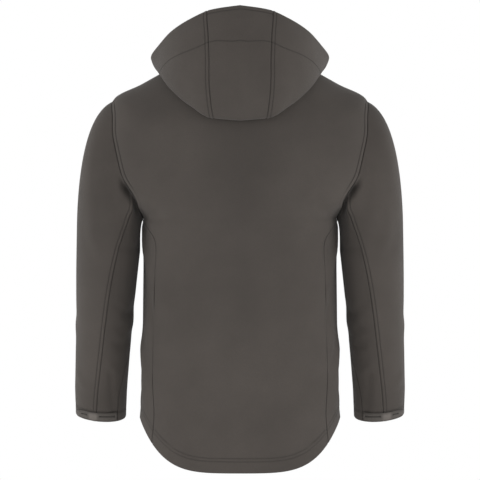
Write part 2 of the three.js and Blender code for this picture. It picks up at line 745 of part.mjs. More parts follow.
function pullTab() {
  const half = PULL.width / 2;
  const top = PULL.bar / 2;
  const outline = new THREE.Shape();
  outline.moveTo(-half, top);
  outline.lineTo(-half, top - PULL.tall + half);
  outline.absarc(0, top - PULL.tall + half, half, Math.PI, 2 * Math.PI, false);
  outline.lineTo(half, top);
  outline.closePath();
  const window = new THREE.Path();
  const low = top - PULL.bar - PULL.windowTall;
  window.moveTo(-PULL.window / 2, top - PULL.bar);
  window.lineTo(PULL.window / 2, top - PULL.bar);
  window.lineTo(PULL.window / 2, low);
  window.lineTo(-PULL.window / 2, low);
  window.closePath();
  outline.holes.push(window);
  const options = { depth: PULL.thick, bevelEnabled: false, curveSegments: ARC_STEPS };
  const geometry = new THREE.ExtrudeGeometry(outline, options);
  geometry.translate(0, 0, -PULL.thick / 2);
  return geometry.rotateX(Math.PI / 2);
}

add("back", backPanel(), clothFinish);
add("collar", collarBand(), clothFinish);
add("hood_centre", hoodCentre(), clothFinish);
for (const [hand, mirror] of [["left", false], ["right", true]]) {
  add(`front_${hand}`, frontPanel(mirror), clothFinish);
  add(`side_${hand}`, sidePanel(mirror), clothFinish);
  add(`sleeve_upper_${hand}`, sleevePanel(true, mirror), clothFinish);
  add(`sleeve_under_${hand}`, sleevePanel(false, mirror), clothFinish);
  add(`hood_side_${hand}`, hoodSide(mirror), clothFinish);
  add(`cuff_tab_${hand}`, cuffTab(mirror), tabFinish);
  const tape = zipStrip(tapePoint, CHAIN_HALF + SEAM_GAP, TAPE_HALF, TAPE_CLOTH, 0, mirror);
  add(`zip_tape_${hand}`, tape, zipFinish);
}
add("zip_chain", zipStrip(frontPoint, -CHAIN_HALF, CHAIN_HALF, CHAIN_THICK, CHAIN_LIFT, false), zipFinish);

// The slider stands at the top of the closed zip, leaning with the collar.
const sliderFoot = frontPoint(SLIDER_AT, 0);
const zipLean = normalAt(frontPoint, SLIDER_AT, 0);
const lean = Math.atan2(zipLean.z, -zipLean.y);
const puller = new THREE.Group();
puller.position.copy(sliderFoot).addScaledVector(zipLean, CHAIN_LIFT + SEAM_GAP + SLIDER.plate);
puller.rotation.x = -lean;
jacket.add(puller);
const slider = add("zip_slider", sliderBody(), metalFinish);
const pull = add("zip_pull", pullTab(), metalFinish);
pull.position.y = -SLIDER.pinOut;
puller.add(slider, pull);

export default jacket;
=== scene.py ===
import math

import bpy
import numpy as np
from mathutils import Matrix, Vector


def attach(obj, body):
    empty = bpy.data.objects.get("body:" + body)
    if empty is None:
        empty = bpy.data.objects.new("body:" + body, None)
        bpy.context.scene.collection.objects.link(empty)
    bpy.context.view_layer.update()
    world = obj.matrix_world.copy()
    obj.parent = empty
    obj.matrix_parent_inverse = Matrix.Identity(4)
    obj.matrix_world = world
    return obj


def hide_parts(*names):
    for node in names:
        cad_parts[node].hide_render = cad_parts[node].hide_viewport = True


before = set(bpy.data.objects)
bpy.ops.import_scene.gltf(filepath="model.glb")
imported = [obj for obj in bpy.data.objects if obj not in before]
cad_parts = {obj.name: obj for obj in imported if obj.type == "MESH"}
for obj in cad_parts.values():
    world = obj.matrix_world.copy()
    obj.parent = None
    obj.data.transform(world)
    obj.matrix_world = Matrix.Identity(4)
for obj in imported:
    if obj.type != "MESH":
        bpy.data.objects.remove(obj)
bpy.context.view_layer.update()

# A hooded softshell jacket, filled out as if worn. Shapes are worked out in millimetres in the
# frame's axes: +Z up, the wearer faces -Y, and +X is the wearer's left.
MM = 0.001
scene = bpy.context.scene

# Cloth thicknesses, and the gaps between pieces.
CLOTH = 2.0
LEAST_CLOTH = 1.0
COLLAR_CLOTH = 3.0
TAB_CLOTH = 2.4
TAPE_CLOTH = 1.0
SEAM_GAP = 0.3
ARMHOLE_GAP = 0.8
COLLAR_GAP = 0.7
HOOD_CLEARANCE = 1.8
TAPE_CLEARANCE = 1.4

# Rings of the body and of a sleeve, and the zip's ends, which lie past the neck seam (0) on
# the collar and just above the hem.
SHOULDER_TIP, UNDERARM, HEM, CUFF = 3, 7, 13, 6
ZIP_TOP, ZIP_FOOT = -0.97, 12.96
ZIP_OPENING = 8.0
CHAIN_HALF = 3.0
TAPE_HALF = 17.0

# A cuff tab, in millimetres, and in degrees round the cuff from its outer to its inner end.
TAB_HEIGHT = 17.0
TAB_END_HEIGHT = 9.5
TAB_LIFT = 0.7
TAB_ABOVE_EDGE = 1.5
TAB_FROM, TAB_FULL, TAB_TO = 14.0, 58.0, 129.0

# How far lines of stitching lie from the edge or seam beside them, and how deep the hem and
# the cuffs are folded in and by how much the fold is thicker.
HEM_LINES = (21.5, 27.5)
CUFF_LINES = (17.0, 20.0)
TWIN_GAP = 6.0
ARMHOLE_TWIN_GAP = 8.5
FRONT_LINE = 5.0
COLLAR_LINE = 5.0
RIM_LINE = 9.0
CASING_DEPTH = 69.0
HEM_FOLD = (27.0, 1.0)
CUFF_FOLD = (20.0, 0.8)
CASING_FOLD = (CASING_DEPTH, 1.0)
FOLD_STEP = 2


def table(names, *rows):
    """Rows of numbers under named columns."""
    return [dict(zip(names.split(), row)) for row in rows]


BODY = table(
    "at half mid_y back_y front_y side_z back_z front_z power",
    (0, 82, 0, 70, -86, 0, -14, -80, 2.0),
    (1, 128, 2, 96, -107, -22, -54, -114, 2.05),
    (2, 186, 2, 113, -125, -54, -100, -154, 2.15),
    (3, 240, 0, 122, -137, -84, -148, -196, 2.25),
    (4, 253, 0, 127, -144, -140, -195, -230, 2.3),
    (5, 248, 0, 129, -147, -215, -240, -262, 2.35),
    (6, 219, 0, 129, -148, -272, -278, -290, 2.35),
    (7, 184, 0, 128, -148, -310, -313, -317, 2.35),
    (8, 183.5, 0, 124, -146, -340, -343, -345, 2.35),
    (9, 184, 0, 117, -141, -420, -426, -426, 2.4),
    (10, 184.5, 0, 112, -137, -505, -518, -514, 2.4),
    (11, 186.5, 0, 113, -137, -580, -612, -600, 2.4),
    (12, 189, 0, 118, -140, -642, -704, -678, 2.35),
    (13, 191, 0, 122, -142, -688, -783, -742, 2.1),
)
SIDE_EDGE = table(
    "at back front",
    (0, -10, -10), (2, -12, -12), (3, -12, -12), (3.15, 16, -33), (3.5, 42, -54),
    (4, 52, -67), (4.5, 62.5, -80), (5, 69, -90), (5.5, 73, -93), (6, 72, -88),
    (6.5, 48, -60), (7, 18, -20), (7.4, 42, -42), (7.8, 60, -60), (8.35, 74, -78),
    (9, 70, -82), (10, 64, -82), (11, 65, -84), (12, 72, -86), (13, 64, -80),
)
SLEEVE = table(
    "at x y half deep z outer_up front_up",
    (1, 250, -3, 60, 79, -348, 24, 0),
    (2, 254.5, -7, 57, 74, -425, 14, 4),
    (3, 258.5, -14, 53.5, 68, -505, 6, 9),
    (4, 263, -26, 51, 61, -585, 3, 12),
    (5, 266, -38, 49.5, 54, -641, 3, 12),
    (6, 266.5, -47, 48, 49, -684, 4, 11.5),
)
SLEEVE_SEAMS = table(
    "at back front",
    (0, 125, 222), (0.1, 131, 221), (0.25, 134, 219.5), (0.4, 131.5, 218),
    (0.6, 127, 216), (0.8, 120.5, 214), (1, 115, 212), (2, 103, 206),
    (3, 95, 196), (3.5, 92, 182), (4, 89, 152), (5, 85, 136),
    (6, 82, 133),
)
COLLAR_TOP = {"half": 75, "mid_y": -3, "back_y": 60, "front_y": -81,
              "side_z": 50, "back_z": 42, "front_z": -26}
HOOD = table(
    "at hangs rim rim_z turn rise lean",
    (0, 2.45, 122, 86, 40, 165, 33),
    (25, 2.34, 129, 78, 38, 155, 31),
    (41, 1.95, 139, 63, 30, 125, 28),
    (58, 1.6, 150.5, 42, 20, 82, 20),
    (74, 1.42, 161, 16, 12, 44, 6),
    (90, 1.36, 170, -3, 9, 18, -14),
    (115, 1.1, 160, -16, 9, 18, -12),
    (140, 0.75, 137, -42, 8, 15, -5),
    (165, 0.42, 112, -70, 6, 9, 0),
)
HOOD_END = 165
HOOD_FOOT = 0.012
HOOD_NEAR_BOTTOM = 0.96
HOOD_RADIUS = 120.0
HOOD_SEAM = table(
    "at angle", (0, 36), (1, 23.6), (1.25, 21.1), (1.5, 20.3), (1.7, 20.3), (1.85, 22.2), (2, 28)
)

# How a sleeve's cap leaves the armhole, and how hard it leaves it and reaches the first ring:
# at the underarm, and what is added towards the top.
CAP_WAY = {"out": 0.93, "spread": -0.05, "down": 0.38, "down_more": 0.29}
CAP_LEAVES = (26, 75)
CAP_ARRIVES = (30, 235)
RING_DROP = 1.25

# The large folds, which the solids have too: each from one place (u, v) to another, with its
# width and height. They are in Y and Z on the sides of the body and in degrees and rings on
# a sleeve, and begin over a stretch of the rings.
SIDE_FOLDS = (
    (5, -322, 62, -402, 11, 2.6),
    (26, -405, 44, -495, 19, -2.6),
    (14, -560, 52, -640, 20, 2.2),
    (-18, -600, 18, -668, 16, -3.4),
    (-20, -325, -84, -430, 15, 2.4),
    (-40, -520, -78, -640, 15, 3.2),
)
SLEEVE_FOLDS = (
    (118, 1.1, 168, 0.86, 9, -2.4),
    (128, 2.95, 170, 2.5, 13, -2.6),
    (126, 3.4, 170, 3.15, 11, -2.0),
    (150, 3.2, 200, 2.8, 15, 1.6),
    (112, 4.1, 124, 5.5, 9, -2.2),
    (245, 2.7, 290, 3.1, 13, -2.6),
)
FOLD_RADIUS = 60.0
FOLD_PITCH = 80.0
SIDE_FOLDS_START = 0.6
SLEEVE_FOLDS_START = 0.5

# The step used to find a surface's directions, in its own parameters.
PROBE = 1e-3


def column(rows, name):
    """A monotone cubic through one column of a table."""
    at = np.array([row["at"] for row in rows], float)
    value = np.array([row[name] for row in rows], float)
    rise = np.diff(value) / np.diff(at)
    slope = np.concatenate([rise[:1], np.zeros(len(at) - 2), rise[-1:]])
    for i in range(1, len(at) - 1):
        if rise[i - 1] * rise[i] > 0:
            slope[i] = 2 * rise[i - 1] * rise[i] / (rise[i - 1] + rise[i])

    def curve(x):
        x = np.clip(x, at[0], at[-1])
        i = np.clip(np.searchsorted(at, x, side="right") - 1, 0, len(at) - 2)
        span = at[i + 1] - at[i]
        u = (x - at[i]) / span
        end = u * u * (3 - 2 * u)
        bend = slope[i] * u * (1 - u) ** 2 - slope[i + 1] * u * u * (1 - u)
        return value[i] * (1 - end) + value[i + 1] * end + span * bend

    return curve


def columns(rows):
    return {name: column(rows, name) for name in rows[0] if name != "at"}


body_at = columns(BODY)
side_edge = columns(SIDE_EDGE)
sleeve_at = columns(SLEEVE)
sleeve_seam = columns(SLEEVE_SEAMS)
hood_at = columns(HOOD)
hood_seam = columns(HOOD_SEAM)


def smooth(low, high, x):
    u = np.clip((x - low) / (high - low), 0, 1)
    return u * u * (3 - 2 * u)


def bump(x, width):
    return np.exp(-((x / width) ** 2))


def points(x, y, z):
    return np.stack(np.broadcast_arrays(x, y, z), -1).astype(float)


def outwards(angle):
    return points(np.cos(angle), np.sin(angle), 0.0)


def unit(vectors):
    length = np.linalg.norm(vectors, axis=-1, keepdims=True)
    return vectors / np.maximum(length, 1e-9)


def run(places):
    """The length along a line of points, from its start."""
    step = np.linalg.norm(np.diff(places, axis=0), axis=-1)
    return np.concatenate([np.zeros((1, *step.shape[1:])), np.cumsum(step, axis=0)])


def along(at, reach, places):
    """The points of a line at some lengths along it."""
    return points(*[np.interp(at, reach, places[:, k]) for k in range(3)])


def normal_at(surface, a, b):
    """The unit normal of a surface, pointing to its face side."""
    along_a = surface(a + PROBE, b) - surface(a - PROBE, b)
    along_b = surface(a, b + PROBE) - surface(a, b - PROBE)
    return unit(np.cross(along_a, along_b))


def ring_point(ring, angle):
    """A round-sided ring: 0 at the wearer's left and 90 degrees behind."""
    c, s = np.cos(angle), np.sin(angle)
    depth = np.where(s > 0, ring["back_y"] - ring["mid_y"], ring["mid_y"] - ring["front_y"])
    total = np.abs(c / ring["half"]) ** ring["power"] + np.abs(s / depth) ** ring["power"]
    radius = total ** (-1 / ring["power"])
    share = np.minimum(1, np.abs(radius * s) / depth)
    drop = (share * share * (3 - 2 * share)) ** RING_DROP
    end_z = np.where(s > 0, ring["back_z"], ring["front_z"])
    z = ring["side_z"] + (end_z - ring["side_z"]) * drop
    return points(radius * c, ring["mid_y"] + radius * s, z)


def body_ring(at):
    return {name: value(at) for name, value in body_at.items()}


def fold_sum(u, v, folds, u_scale=1.0, v_scale=1.0):
    """Soft round-ended folds between places of a surface."""
    height = np.zeros(np.broadcast(u, v).shape)
    for u0, v0, u1, v1, width, out in folds:
        u0, v0, u1, v1 = u0 * u_scale, v0 * v_scale, u1 * u_scale, v1 * v_scale
        length2 = (u1 - u0) ** 2 + (v1 - v0) ** 2
        near = np.clip(((u - u0) * (u1 - u0) + (v - v0) * (v1 - v0)) / length2, 0, 1)
        away = np.hypot(u - u0 - near * (u1 - u0), v - v0 - near * (v1 - v0))
        height = height + out * bump(away, width)
    return height


def angle_at_y(at, y):
    ring = body_ring(at)
    offset = y - ring["mid_y"]
    depth = np.where(offset > 0, ring["back_y"] - ring["mid_y"], ring["mid_y"] - ring["front_y"])
    x = ring["half"] * (1 - np.abs(offset / depth) ** ring["power"]) ** (1 / ring["power"])
    return np.arctan2(offset, x)


def body(at, angle):
    at, angle = np.broadcast_arrays(at, angle)
    ring = body_ring(at)
    place = ring_point(ring, angle)
    height = fold_sum(place[..., 1], place[..., 2], SIDE_FOLDS)
    start = np.clip((at - UNDERARM) / SIDE_FOLDS_START, 0, 1)
    side = np.abs(place[..., 0]) / ring["half"]
    outward = outwards(angle)
    return place + outward * (height * start * side**6)[..., None]


def armhole_half(edge):
    """The armhole from the shoulder tip to the middle of the underarm, evenly spaced."""
    at = np.linspace(SHOULDER_TIP, UNDERARM, 121)
    side = body(at, angle_at_y(at, edge(at)))
    foot = float(angle_at_y(UNDERARM, edge(UNDERARM)))
    under = body(np.full(12, float(UNDERARM)), foot * (1 - np.arange(1, 13) / 12))
    line = np.concatenate([side, under])
    reach = run(line)
    reach /= reach[-1]
    return lambda share: along(share, reach, line)


armhole_back = armhole_half(side_edge["back"])
armhole_front = armhole_half(side_edge["front"])


def sleeve_ring(at, angle):
    c, s = np.cos(angle), np.sin(angle)
    ring = {name: value(at) for name, value in sleeve_at.items()}
    z = ring["z"] + ring["outer_up"] * c - ring["front_up"] * s
    return points(ring["x"] + ring["half"] * c, ring["y"] + ring["deep"] * s, z)


def cap_reach(angle):
    return CAP_LEAVES[0] + CAP_LEAVES[1] * (1 + np.cos(angle))


def sleeve(at, angle):
    """A sleeve on the wearer's left: its cap (0 to 1) from the armhole, then its rings."""
    at, angle = np.broadcast_arrays(at, angle)
    turn = np.mod(angle, 2 * math.pi)
    share = np.where(turn <= math.pi, turn / math.pi, 2 - turn / math.pi)
    behind = (turn <= math.pi)[..., None]
    start = np.where(behind, armhole_back(share), armhole_front(share))
    end = sleeve_ring(1, angle)
    top = (1 + np.cos(angle)) / 2
    down = CAP_WAY["down"] + CAP_WAY["down_more"] * (1 - top)
    leave = points(CAP_WAY["out"], CAP_WAY["spread"] * np.sin(angle), -down)
    leave = leave * cap_reach(angle)[..., None]
    arrive = unit(sleeve_ring(1.02, angle) - end)
    arrive = arrive * (CAP_ARRIVES[0] + CAP_ARRIVES[1] * top)[..., None]
    u = np.clip(at, 0, 1)[..., None]
    cap = start * (1 - 3 * u**2 + 2 * u**3) + end * (3 * u**2 - 2 * u**3)
    cap = cap + leave * (u - 2 * u**2 + u**3) + arrive * (u**3 - u**2)
    place = np.where((at < 1)[..., None], cap, sleeve_ring(np.maximum(at, 1), angle))
    height = fold_sum(
        turn * FOLD_RADIUS, at * FOLD_PITCH, SLEEVE_FOLDS,
        math.radians(1) * FOLD_RADIUS, FOLD_PITCH,
    )
    outward = outwards(angle)
    height = height * np.clip(at / SLEEVE_FOLDS_START, 0, 1)
    return place + outward * height[..., None]


def collar(at, angle):
    neck = body_ring(0)
    at = np.asarray(at, float)
    ring = {name: neck[name] + (COLLAR_TOP[name] - neck[name]) * at for name in COLLAR_TOP}
    ring["power"] = 2.0
    return ring_point(ring, angle) + points(0.0, 0.0, COLLAR_GAP)


def hood(at, from_back):
    """The hood's face side, from the neck seam (0) along the back to the bottom (1) and up to
    the rim (2). The angle is from the centre back towards the wearer's left."""
    at, from_back = np.broadcast_arrays(at, from_back)
    degrees = np.degrees(np.abs(from_back))
    angle = math.pi / 2 - from_back
    hangs = hood_at["hangs"](degrees)

    def lying(share):
        ring = HOOD_FOOT + (hangs - HOOD_FOOT) * share
        return body(ring, angle) + normal_at(body, ring, angle) * HOOD_CLEARANCE

    bottom = lying(1.0)
    on = unit(bottom - lying(HOOD_NEAR_BOTTOM))
    outward = outwards(angle)
    lean = np.radians(hood_at["lean"](degrees))
    rim = outward * hood_at["rim"](degrees)[..., None]
    rim[..., 2] = hood_at["rim_z"](degrees)
    arrive = outward * -np.sin(lean)[..., None]
    arrive[..., 2] = np.cos(lean)
    first = bottom + on * hood_at["turn"](degrees)[..., None]
    second = rim - arrive * hood_at["rise"](degrees)[..., None]
    u = np.clip(at - 1, 0, 1.001)[..., None]
    pouch = bottom * (1 - u) ** 3 + first * (3 * u * (1 - u) ** 2)
    pouch = pouch + second * (3 * u * u * (1 - u)) + rim * u**3
    return np.where((at <= 1)[..., None], lying(np.minimum(at, 1.0)), pouch)


def angle_at_front_x(at, x):
    centre = body(at, np.full(np.shape(at), -math.pi / 2))
    return -math.pi / 2 + np.arcsin(x / np.abs(centre[..., 1]))


def front(at, x):
    """The front surface at a distance left of the centre line, from the collar's top (-1)
    past the neck seam (0) to the hem."""
    at, x = np.broadcast_arrays(np.asarray(at, float), x)
    on_body = np.maximum(at, 0)
    below = body(on_body, angle_at_front_x(on_body, x))
    on_collar = np.clip(-at, 0, 1)
    centre = collar(on_collar, np.full(at.shape, -math.pi / 2))
    above = collar(on_collar, -math.pi / 2 + np.arcsin(x / np.abs(centre[..., 1])))
    above = above - points(0.0, 0.0, COLLAR_GAP)
    return np.where((at < 0)[..., None], above, below)


# Distances in millimetres from an edge at which a panel has its rows and columns: close
# together at seams and lines of stitching.
TWIN_MARKS = (0, 0.35, 0.8, 1.3, 2.0, 3.0, 4.2, 5.0, 5.5, 6.0, 6.5, 7.1, 8.3, 11, 15, 20)
ARMHOLE_MARKS = (0, 0.35, 0.8, 1.3, 2.0, 3.2, 4.8, 6.2, 7.3, 7.9, 8.4, 8.9, 9.4, 10.2, 12, 15, 20)
PLAIN_MARKS = (0, 0.35, 0.8, 1.4, 2.3, 4, 7, 12)
HEM_MARKS = (
    *(0, 0.35, 0.8, 1.4, 2.4, 4.5, 8, 12, 16, 19, 20.5, 21.0, 21.5, 22.0, 22.7),
    *(24.5, 26.3, 27.0, 27.5, 28.0, 28.8, 31, 35),
)
CUFF_MARKS = (
    *(0, 0.35, 0.8, 1.4, 2.4, 4.5, 8, 12, 15),
    *(16.5, 17, 17.5, 18.5, 19.5, 20, 20.5, 21.5, 24),
)
RIM_MARKS = (0, 0.35, 0.8, 1.4, 2.4, 4.5, 7, 8.2, 8.7, 9.2, 9.8, 11, 15, 22, 30)
HOOD_RIM_MARKS = (*RIM_MARKS, 38, 46, 54, 60, 64, 66.5, 68, 68.5, 69, 69.5, 70, 71, 73, 77)
TAB_MARKS = (0, 0.3, 0.7, 1.2, 2.0, 3.2)
TAPE_MARKS = (0, 0.6, 1.4)
TAPE_END_MARKS = (0, 1)

# The size of the faces between those marks, and the samples from which a panel is laid out.
CELL, TAB_CELL, TAPE_CELL = 5.0, 0.9, 3.0
FINE_ROWS, FINE_COLUMNS = 361, 33

# Marks up to the first distance keep their place. The others share the rest of this part of
# a panel's width, and are never closer together than the last share of their own distances.
KEPT_MARK, MARKED_SHARE, LEAST_ROOM = 8, 0.44, 0.05
LEAST_SQUARE = 0.4


def away_from(line, places):
    """The distance of each place from a line of points."""
    nearest = np.full(places.shape[:-1], np.inf)
    for start, end in zip(line[:-1], line[1:]):
        way = end - start
        share = np.clip((places - start) @ way / max(way @ way, 1e-12), 0, 1)
        gap = np.linalg.norm(places - start - share[..., None] * way, axis=-1)
        nearest = np.minimum(nearest, gap)
    return nearest


EDGES = {"left": np.s_[:, 0], "right": np.s_[:, -1], "top": np.s_[0], "bottom": np.s_[-1]}
NEXT_IN = {"left": np.s_[:, 1], "right": np.s_[:, -2], "top": np.s_[1], "bottom": np.s_[-2]}


class Grid:
    """The places of a panel, between an upper and a lower value of its first parameter and
    two edges of its second one, with distances in millimetres from its four edges."""

    def __init__(self, surface, upper, lower, edges, left=PLAIN_MARKS, right=PLAIN_MARKS,
                 top=PLAIN_MARKS, bottom=PLAIN_MARKS, cell=CELL, flip=False, top_scale=None):
        fine = np.linspace(upper, lower, FINE_ROWS)
        b0, b1 = edges(fine)
        way = np.sign(b1 - b0)
        step = PROBE * way
        per0 = self.pace(surface, fine, b0, step)
        per1 = self.pace(surface, fine, b1, -step)
        across = b0 + (b1 - b0) * np.linspace(0, 1, FINE_COLUMNS)[:, None]
        width = run(surface(np.broadcast_to(fine, across.shape), across))[-1]
        from_left = self.squeezed(left, width)
        from_right = self.squeezed(right, width)
        near0 = b0[:, None] + (way / per0)[:, None] * from_left
        near1 = b1[:, None] - (way / per1)[:, None] * from_right[:, ::-1]
        count = max(2, round((width.max() - left[-1] - right[-1]) / cell))
        share = np.arange(1, count) / count
        middle = near0[:, -1:] + (near1[:, :1] - near0[:, -1:]) * share
        fine_b = np.concatenate([near0, middle, near1], 1)
        length = run(surface(fine[:, None], fine_b))
        total = length[-1]
        rows = max(2, round((total.max() - top[-1] - bottom[-1]) / cell))
        scale = 1 + 0 * total if top_scale is None else top_scale(fine_b[0])
        from_top = np.array(top, float)[:, None] * scale
        from_bottom = total - np.array(bottom[::-1], float)[:, None]
        share = (np.arange(1, rows) / rows)[:, None]
        inner = from_top[-1] + (from_bottom[0] - from_top[-1]) * share
        wanted = np.concatenate([from_top, inner, from_bottom])
        self.a = np.empty(wanted.shape)
        self.b = np.empty(wanted.shape)
        for j in range(wanted.shape[1]):
            self.a[:, j] = np.interp(wanted[:, j], length[:, j], fine)
            self.b[:, j] = np.interp(wanted[:, j], length[:, j], fine_b[:, j])
        self.place = surface(self.a, self.b)
        self.normal = normal_at(surface, self.a, self.b) * (-1 if flip else 1)
        self.turned = flip != (lower < upper)
        for side, edge in EDGES.items():
            setattr(self, side, away_from(self.place[edge], self.place))
        self.down = run(self.place)
        self.casing = self.down / scale
        self.across = run(self.place.swapaxes(0, 1)).swapaxes(0, 1)

    @staticmethod
    def pace(surface, a, b, step):
        """How far from its edge a place moves for each unit of the second parameter."""
        across = (surface(a, b + step) - surface(a, b)) / PROBE
        down = unit(np.gradient(surface(a, b), axis=0))
        length = np.linalg.norm(across, axis=-1)
        square = np.linalg.norm(np.cross(across, down), axis=-1)
        return np.maximum(square, LEAST_SQUARE * length)

    @staticmethod
    def squeezed(marks, width):
        """The marks at each width: the farther ones move closer where a panel is narrow."""
        marks = np.array(marks, float)
        free = MARKED_SHARE * width[:, None] - KEPT_MARK
        room = np.clip(free / (marks[-1] - KEPT_MARK), LEAST_ROOM, 1)
        return np.where(marks > KEPT_MARK, KEPT_MARK + (marks - KEPT_MARK) * room, marks)


# Grooves at edges and lines, in millimetres: depth, width, painted shade in the groove, width of
# the painted shade.
PLAIN_SEAM = (0.75, 0.7, 0.8, 0.85)
TWIN_SEAM = (0.55, 0.6, 0.55, 0.8)
TWIN_LINE = (0.7, 0.75, 0.75, 0.95)
ARMHOLE_SEAM = (0.2, 0.6, 0.2, 0.8)
ARMHOLE_LINE = (0.7, 0.75, 0.85, 0.95)
STITCH_LINE = (0.5, 0.75, 0.7, 0.9)
HEM_LINE = (0.4, 0.75, 0.5, 0.9)
TAB_LINE = (0.25, 0.45, 0.3, 0.9)
ROLLED_EDGE = (0.8, 1.0, 0.25, 1.0)
TAB_EDGE = (0.5, 0.7, 0.25, 0.7)
SWELL_HIGH, SWELL_AT, SWELL_WIDE = 0.18, 2.8, 1.6
TWIN_RIDGE, RIDGE_FOOT, RIDGE_END = 0.6, (0.4, 2.0), (-1.2, 1.0)


def combined(*parts):
    """The sum of several reliefs, each a height and a painted shade (below zero, a painted
    highlight).
    """
    height = sum(part[0] for part in parts)
    return height, np.clip(sum(part[1] for part in parts), -1, 1)


def weighed(weight, part):
    return part[0] * weight, part[1] * weight


def groove(d, deep, wide, dark, dark_wide):
    return -deep * bump(d, wide), dark * bump(d, dark_wide)


def plain_seam(d):
    """A seam with a low swelling of the cloth beside it."""
    return combined(groove(d, *PLAIN_SEAM), (SWELL_HIGH * bump(d - SWELL_AT, SWELL_WIDE), 0))


def twin_seam(d, gap=TWIN_GAP, seam=TWIN_SEAM, line=TWIN_LINE):
    """A seam whose allowance is stitched down beside it, under a ridge of cloth."""
    start, end = RIDGE_END
    ridge = smooth(*RIDGE_FOOT, d) - smooth(gap + start, gap + end, d)
    return combined((TWIN_RIDGE * ridge, 0), groove(d, *seam), groove(d - gap, *line))


def hemmed(d, lines):
    return combined(groove(d, *ROLLED_EDGE), *(groove(d - line, *HEM_LINE) for line in lines))


def at_edges(relief, grid, sides, *values):
    """The same relief along several edges of a panel."""
    return [relief(getattr(grid, side), *values) for side in sides.split()]


# A crease fades in and out along its length, and the cloth swells on both sides of it.
CREASE_IN, CREASE_OUT = (-0.15, 0.35), (0.6, 1.15)
CREASE_SWELL, CREASE_SWELL_AT = 0.35, 1.9


def creases(u, v, rows):
    """The relief of tapered soft creases between places of a panel."""
    height = np.zeros(np.broadcast(u, v).shape)
    for u0, v0, u1, v1, width, out, bend in rows:
        du, dv = u1 - u0, v1 - v0
        length = math.hypot(du, dv)
        share = ((u - u0) * du + (v - v0) * dv) / length**2
        side = ((u - u0) * dv - (v - v0) * du) / length
        side = side + bend * (0.25 - (share - 0.5) ** 2) * 4
        taper = smooth(*CREASE_IN, share) * (1 - smooth(*CREASE_OUT, share))
        beside = np.abs(side) - CREASE_SWELL_AT * width
        profile = bump(side, width) - CREASE_SWELL * bump(beside, width)
        height = height + out * taper * profile
    return height, 0


def new_mesh(name, vertices, faces, smooth_faces=True):
    mesh = bpy.data.meshes.new(name)
    mesh.from_pydata(np.asarray(vertices).tolist(), [], [list(face) for face in faces])
    mesh.polygons.foreach_set("use_smooth", [smooth_faces] * len(mesh.polygons))
    mesh.update()
    return mesh


def linked(name, data):
    obj = bpy.data.objects.new(name, data)
    scene.collection.objects.link(obj)
    return obj


def piece(name, mesh, material):
    mesh.materials.append(material)
    obj = linked(name, mesh)
    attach(obj, "garment")
    return obj


def quads(*corners):
    return np.stack(corners, -1).reshape(-1, 4)


def wall_faces(rows, cols, turned):
    """The faces of a closed wall: its outer and inner grid and the rim between them."""
    outer = np.arange(rows * cols).reshape(rows, cols)
    inner = outer + rows * cols
    faces = [
        quads(outer[:-1, :-1], outer[1:, :-1], outer[1:, 1:], outer[:-1, 1:]),
        quads(inner[:-1, :-1], inner[:-1, 1:], inner[1:, 1:], inner[1:, :-1]),
    ]
    for edge in (np.s_[:, 0], np.s_[::-1, -1], np.s_[0, ::-1], np.s_[-1]):
        line, behind = outer[edge], inner[edge]
        faces.append(quads(line[:-1], behind[:-1], behind[1:], line[1:]))
    faces = np.concatenate(faces)
    return faces[:, ::-1] if turned else faces


def tube_faces(rings, sides):
    """The faces of a closed tube, ring after ring of its corners."""
    last = (rings - 1) * sides
    faces = []
    for a in range(0, last, sides):
        for k in range(sides):
            n = (k + 1) % sides
            faces.append((a + k, a + sides + k, a + sides + n, a + n))
    return [*faces, tuple(range(sides)), tuple(range(last, last + sides))[::-1]]


def repeated(faces, count, per, turned):
    """The faces of the same small body for each of many, turned over or not."""
    way = [-1 if turn else 1 for turn in np.broadcast_to(turned, count)]
    return [[i * per + k for k in face[:: way[i]]] for i in range(count) for face in faces]


TURN_SINKS = 0.2


def turned_in(back, normal, meets):
    """Moves the back of stitched edges past the edge, so that neighbours meet inside the seam."""
    back = back.copy()
    for side, reach in dict(meets).items():
        edge = EDGES[side]
        out = unit(back[edge] - back[NEXT_IN[side]])
        back[edge] += out * reach - normal[edge] * TURN_SINKS
    return back


def shell(name, grid, height, dark, material, thick, inside, mirror, meets):
    """A panel of cloth: its face raised by height, its back plain, and its rim. Where the
    face is hollow, the back gives way, so that some cloth is left."""
    rows, cols = grid.a.shape
    face = grid.place + grid.normal * height[..., None]
    hollow = np.minimum(height + LEAST_CLOTH, 0)
    back = grid.place + grid.normal * (hollow - thick - inside)[..., None]
    back = turned_in(back, grid.normal, meets)
    vertices = np.concatenate([face.reshape(-1, 3), back.reshape(-1, 3)]) * MM
    if mirror:
        vertices[:, 0] *= -1
    mesh = new_mesh(name, vertices, wall_faces(rows, cols, grid.turned != mirror))
    # The face's painted shade (above zero) and painted highlight (below zero), for its material;
    # none on the back.
    mesh.attributes.new("painted_light", "FLOAT", "POINT").data.foreach_set(
        "value", np.concatenate([dark.ravel(), 0 * dark.ravel()]).astype(np.float32)
    )
    flat = np.stack([grid.across.ravel(), grid.down.ravel()], -1) * MM
    flat = np.concatenate([flat, flat]).astype(np.float32)
    loops = np.empty(len(mesh.loops), np.int32)
    mesh.loops.foreach_get("vertex_index", loops)
    mesh.uv_layers.new(name="Cloth").data.foreach_set("uv", flat[loops].ravel())
    return piece(name, mesh, material), face


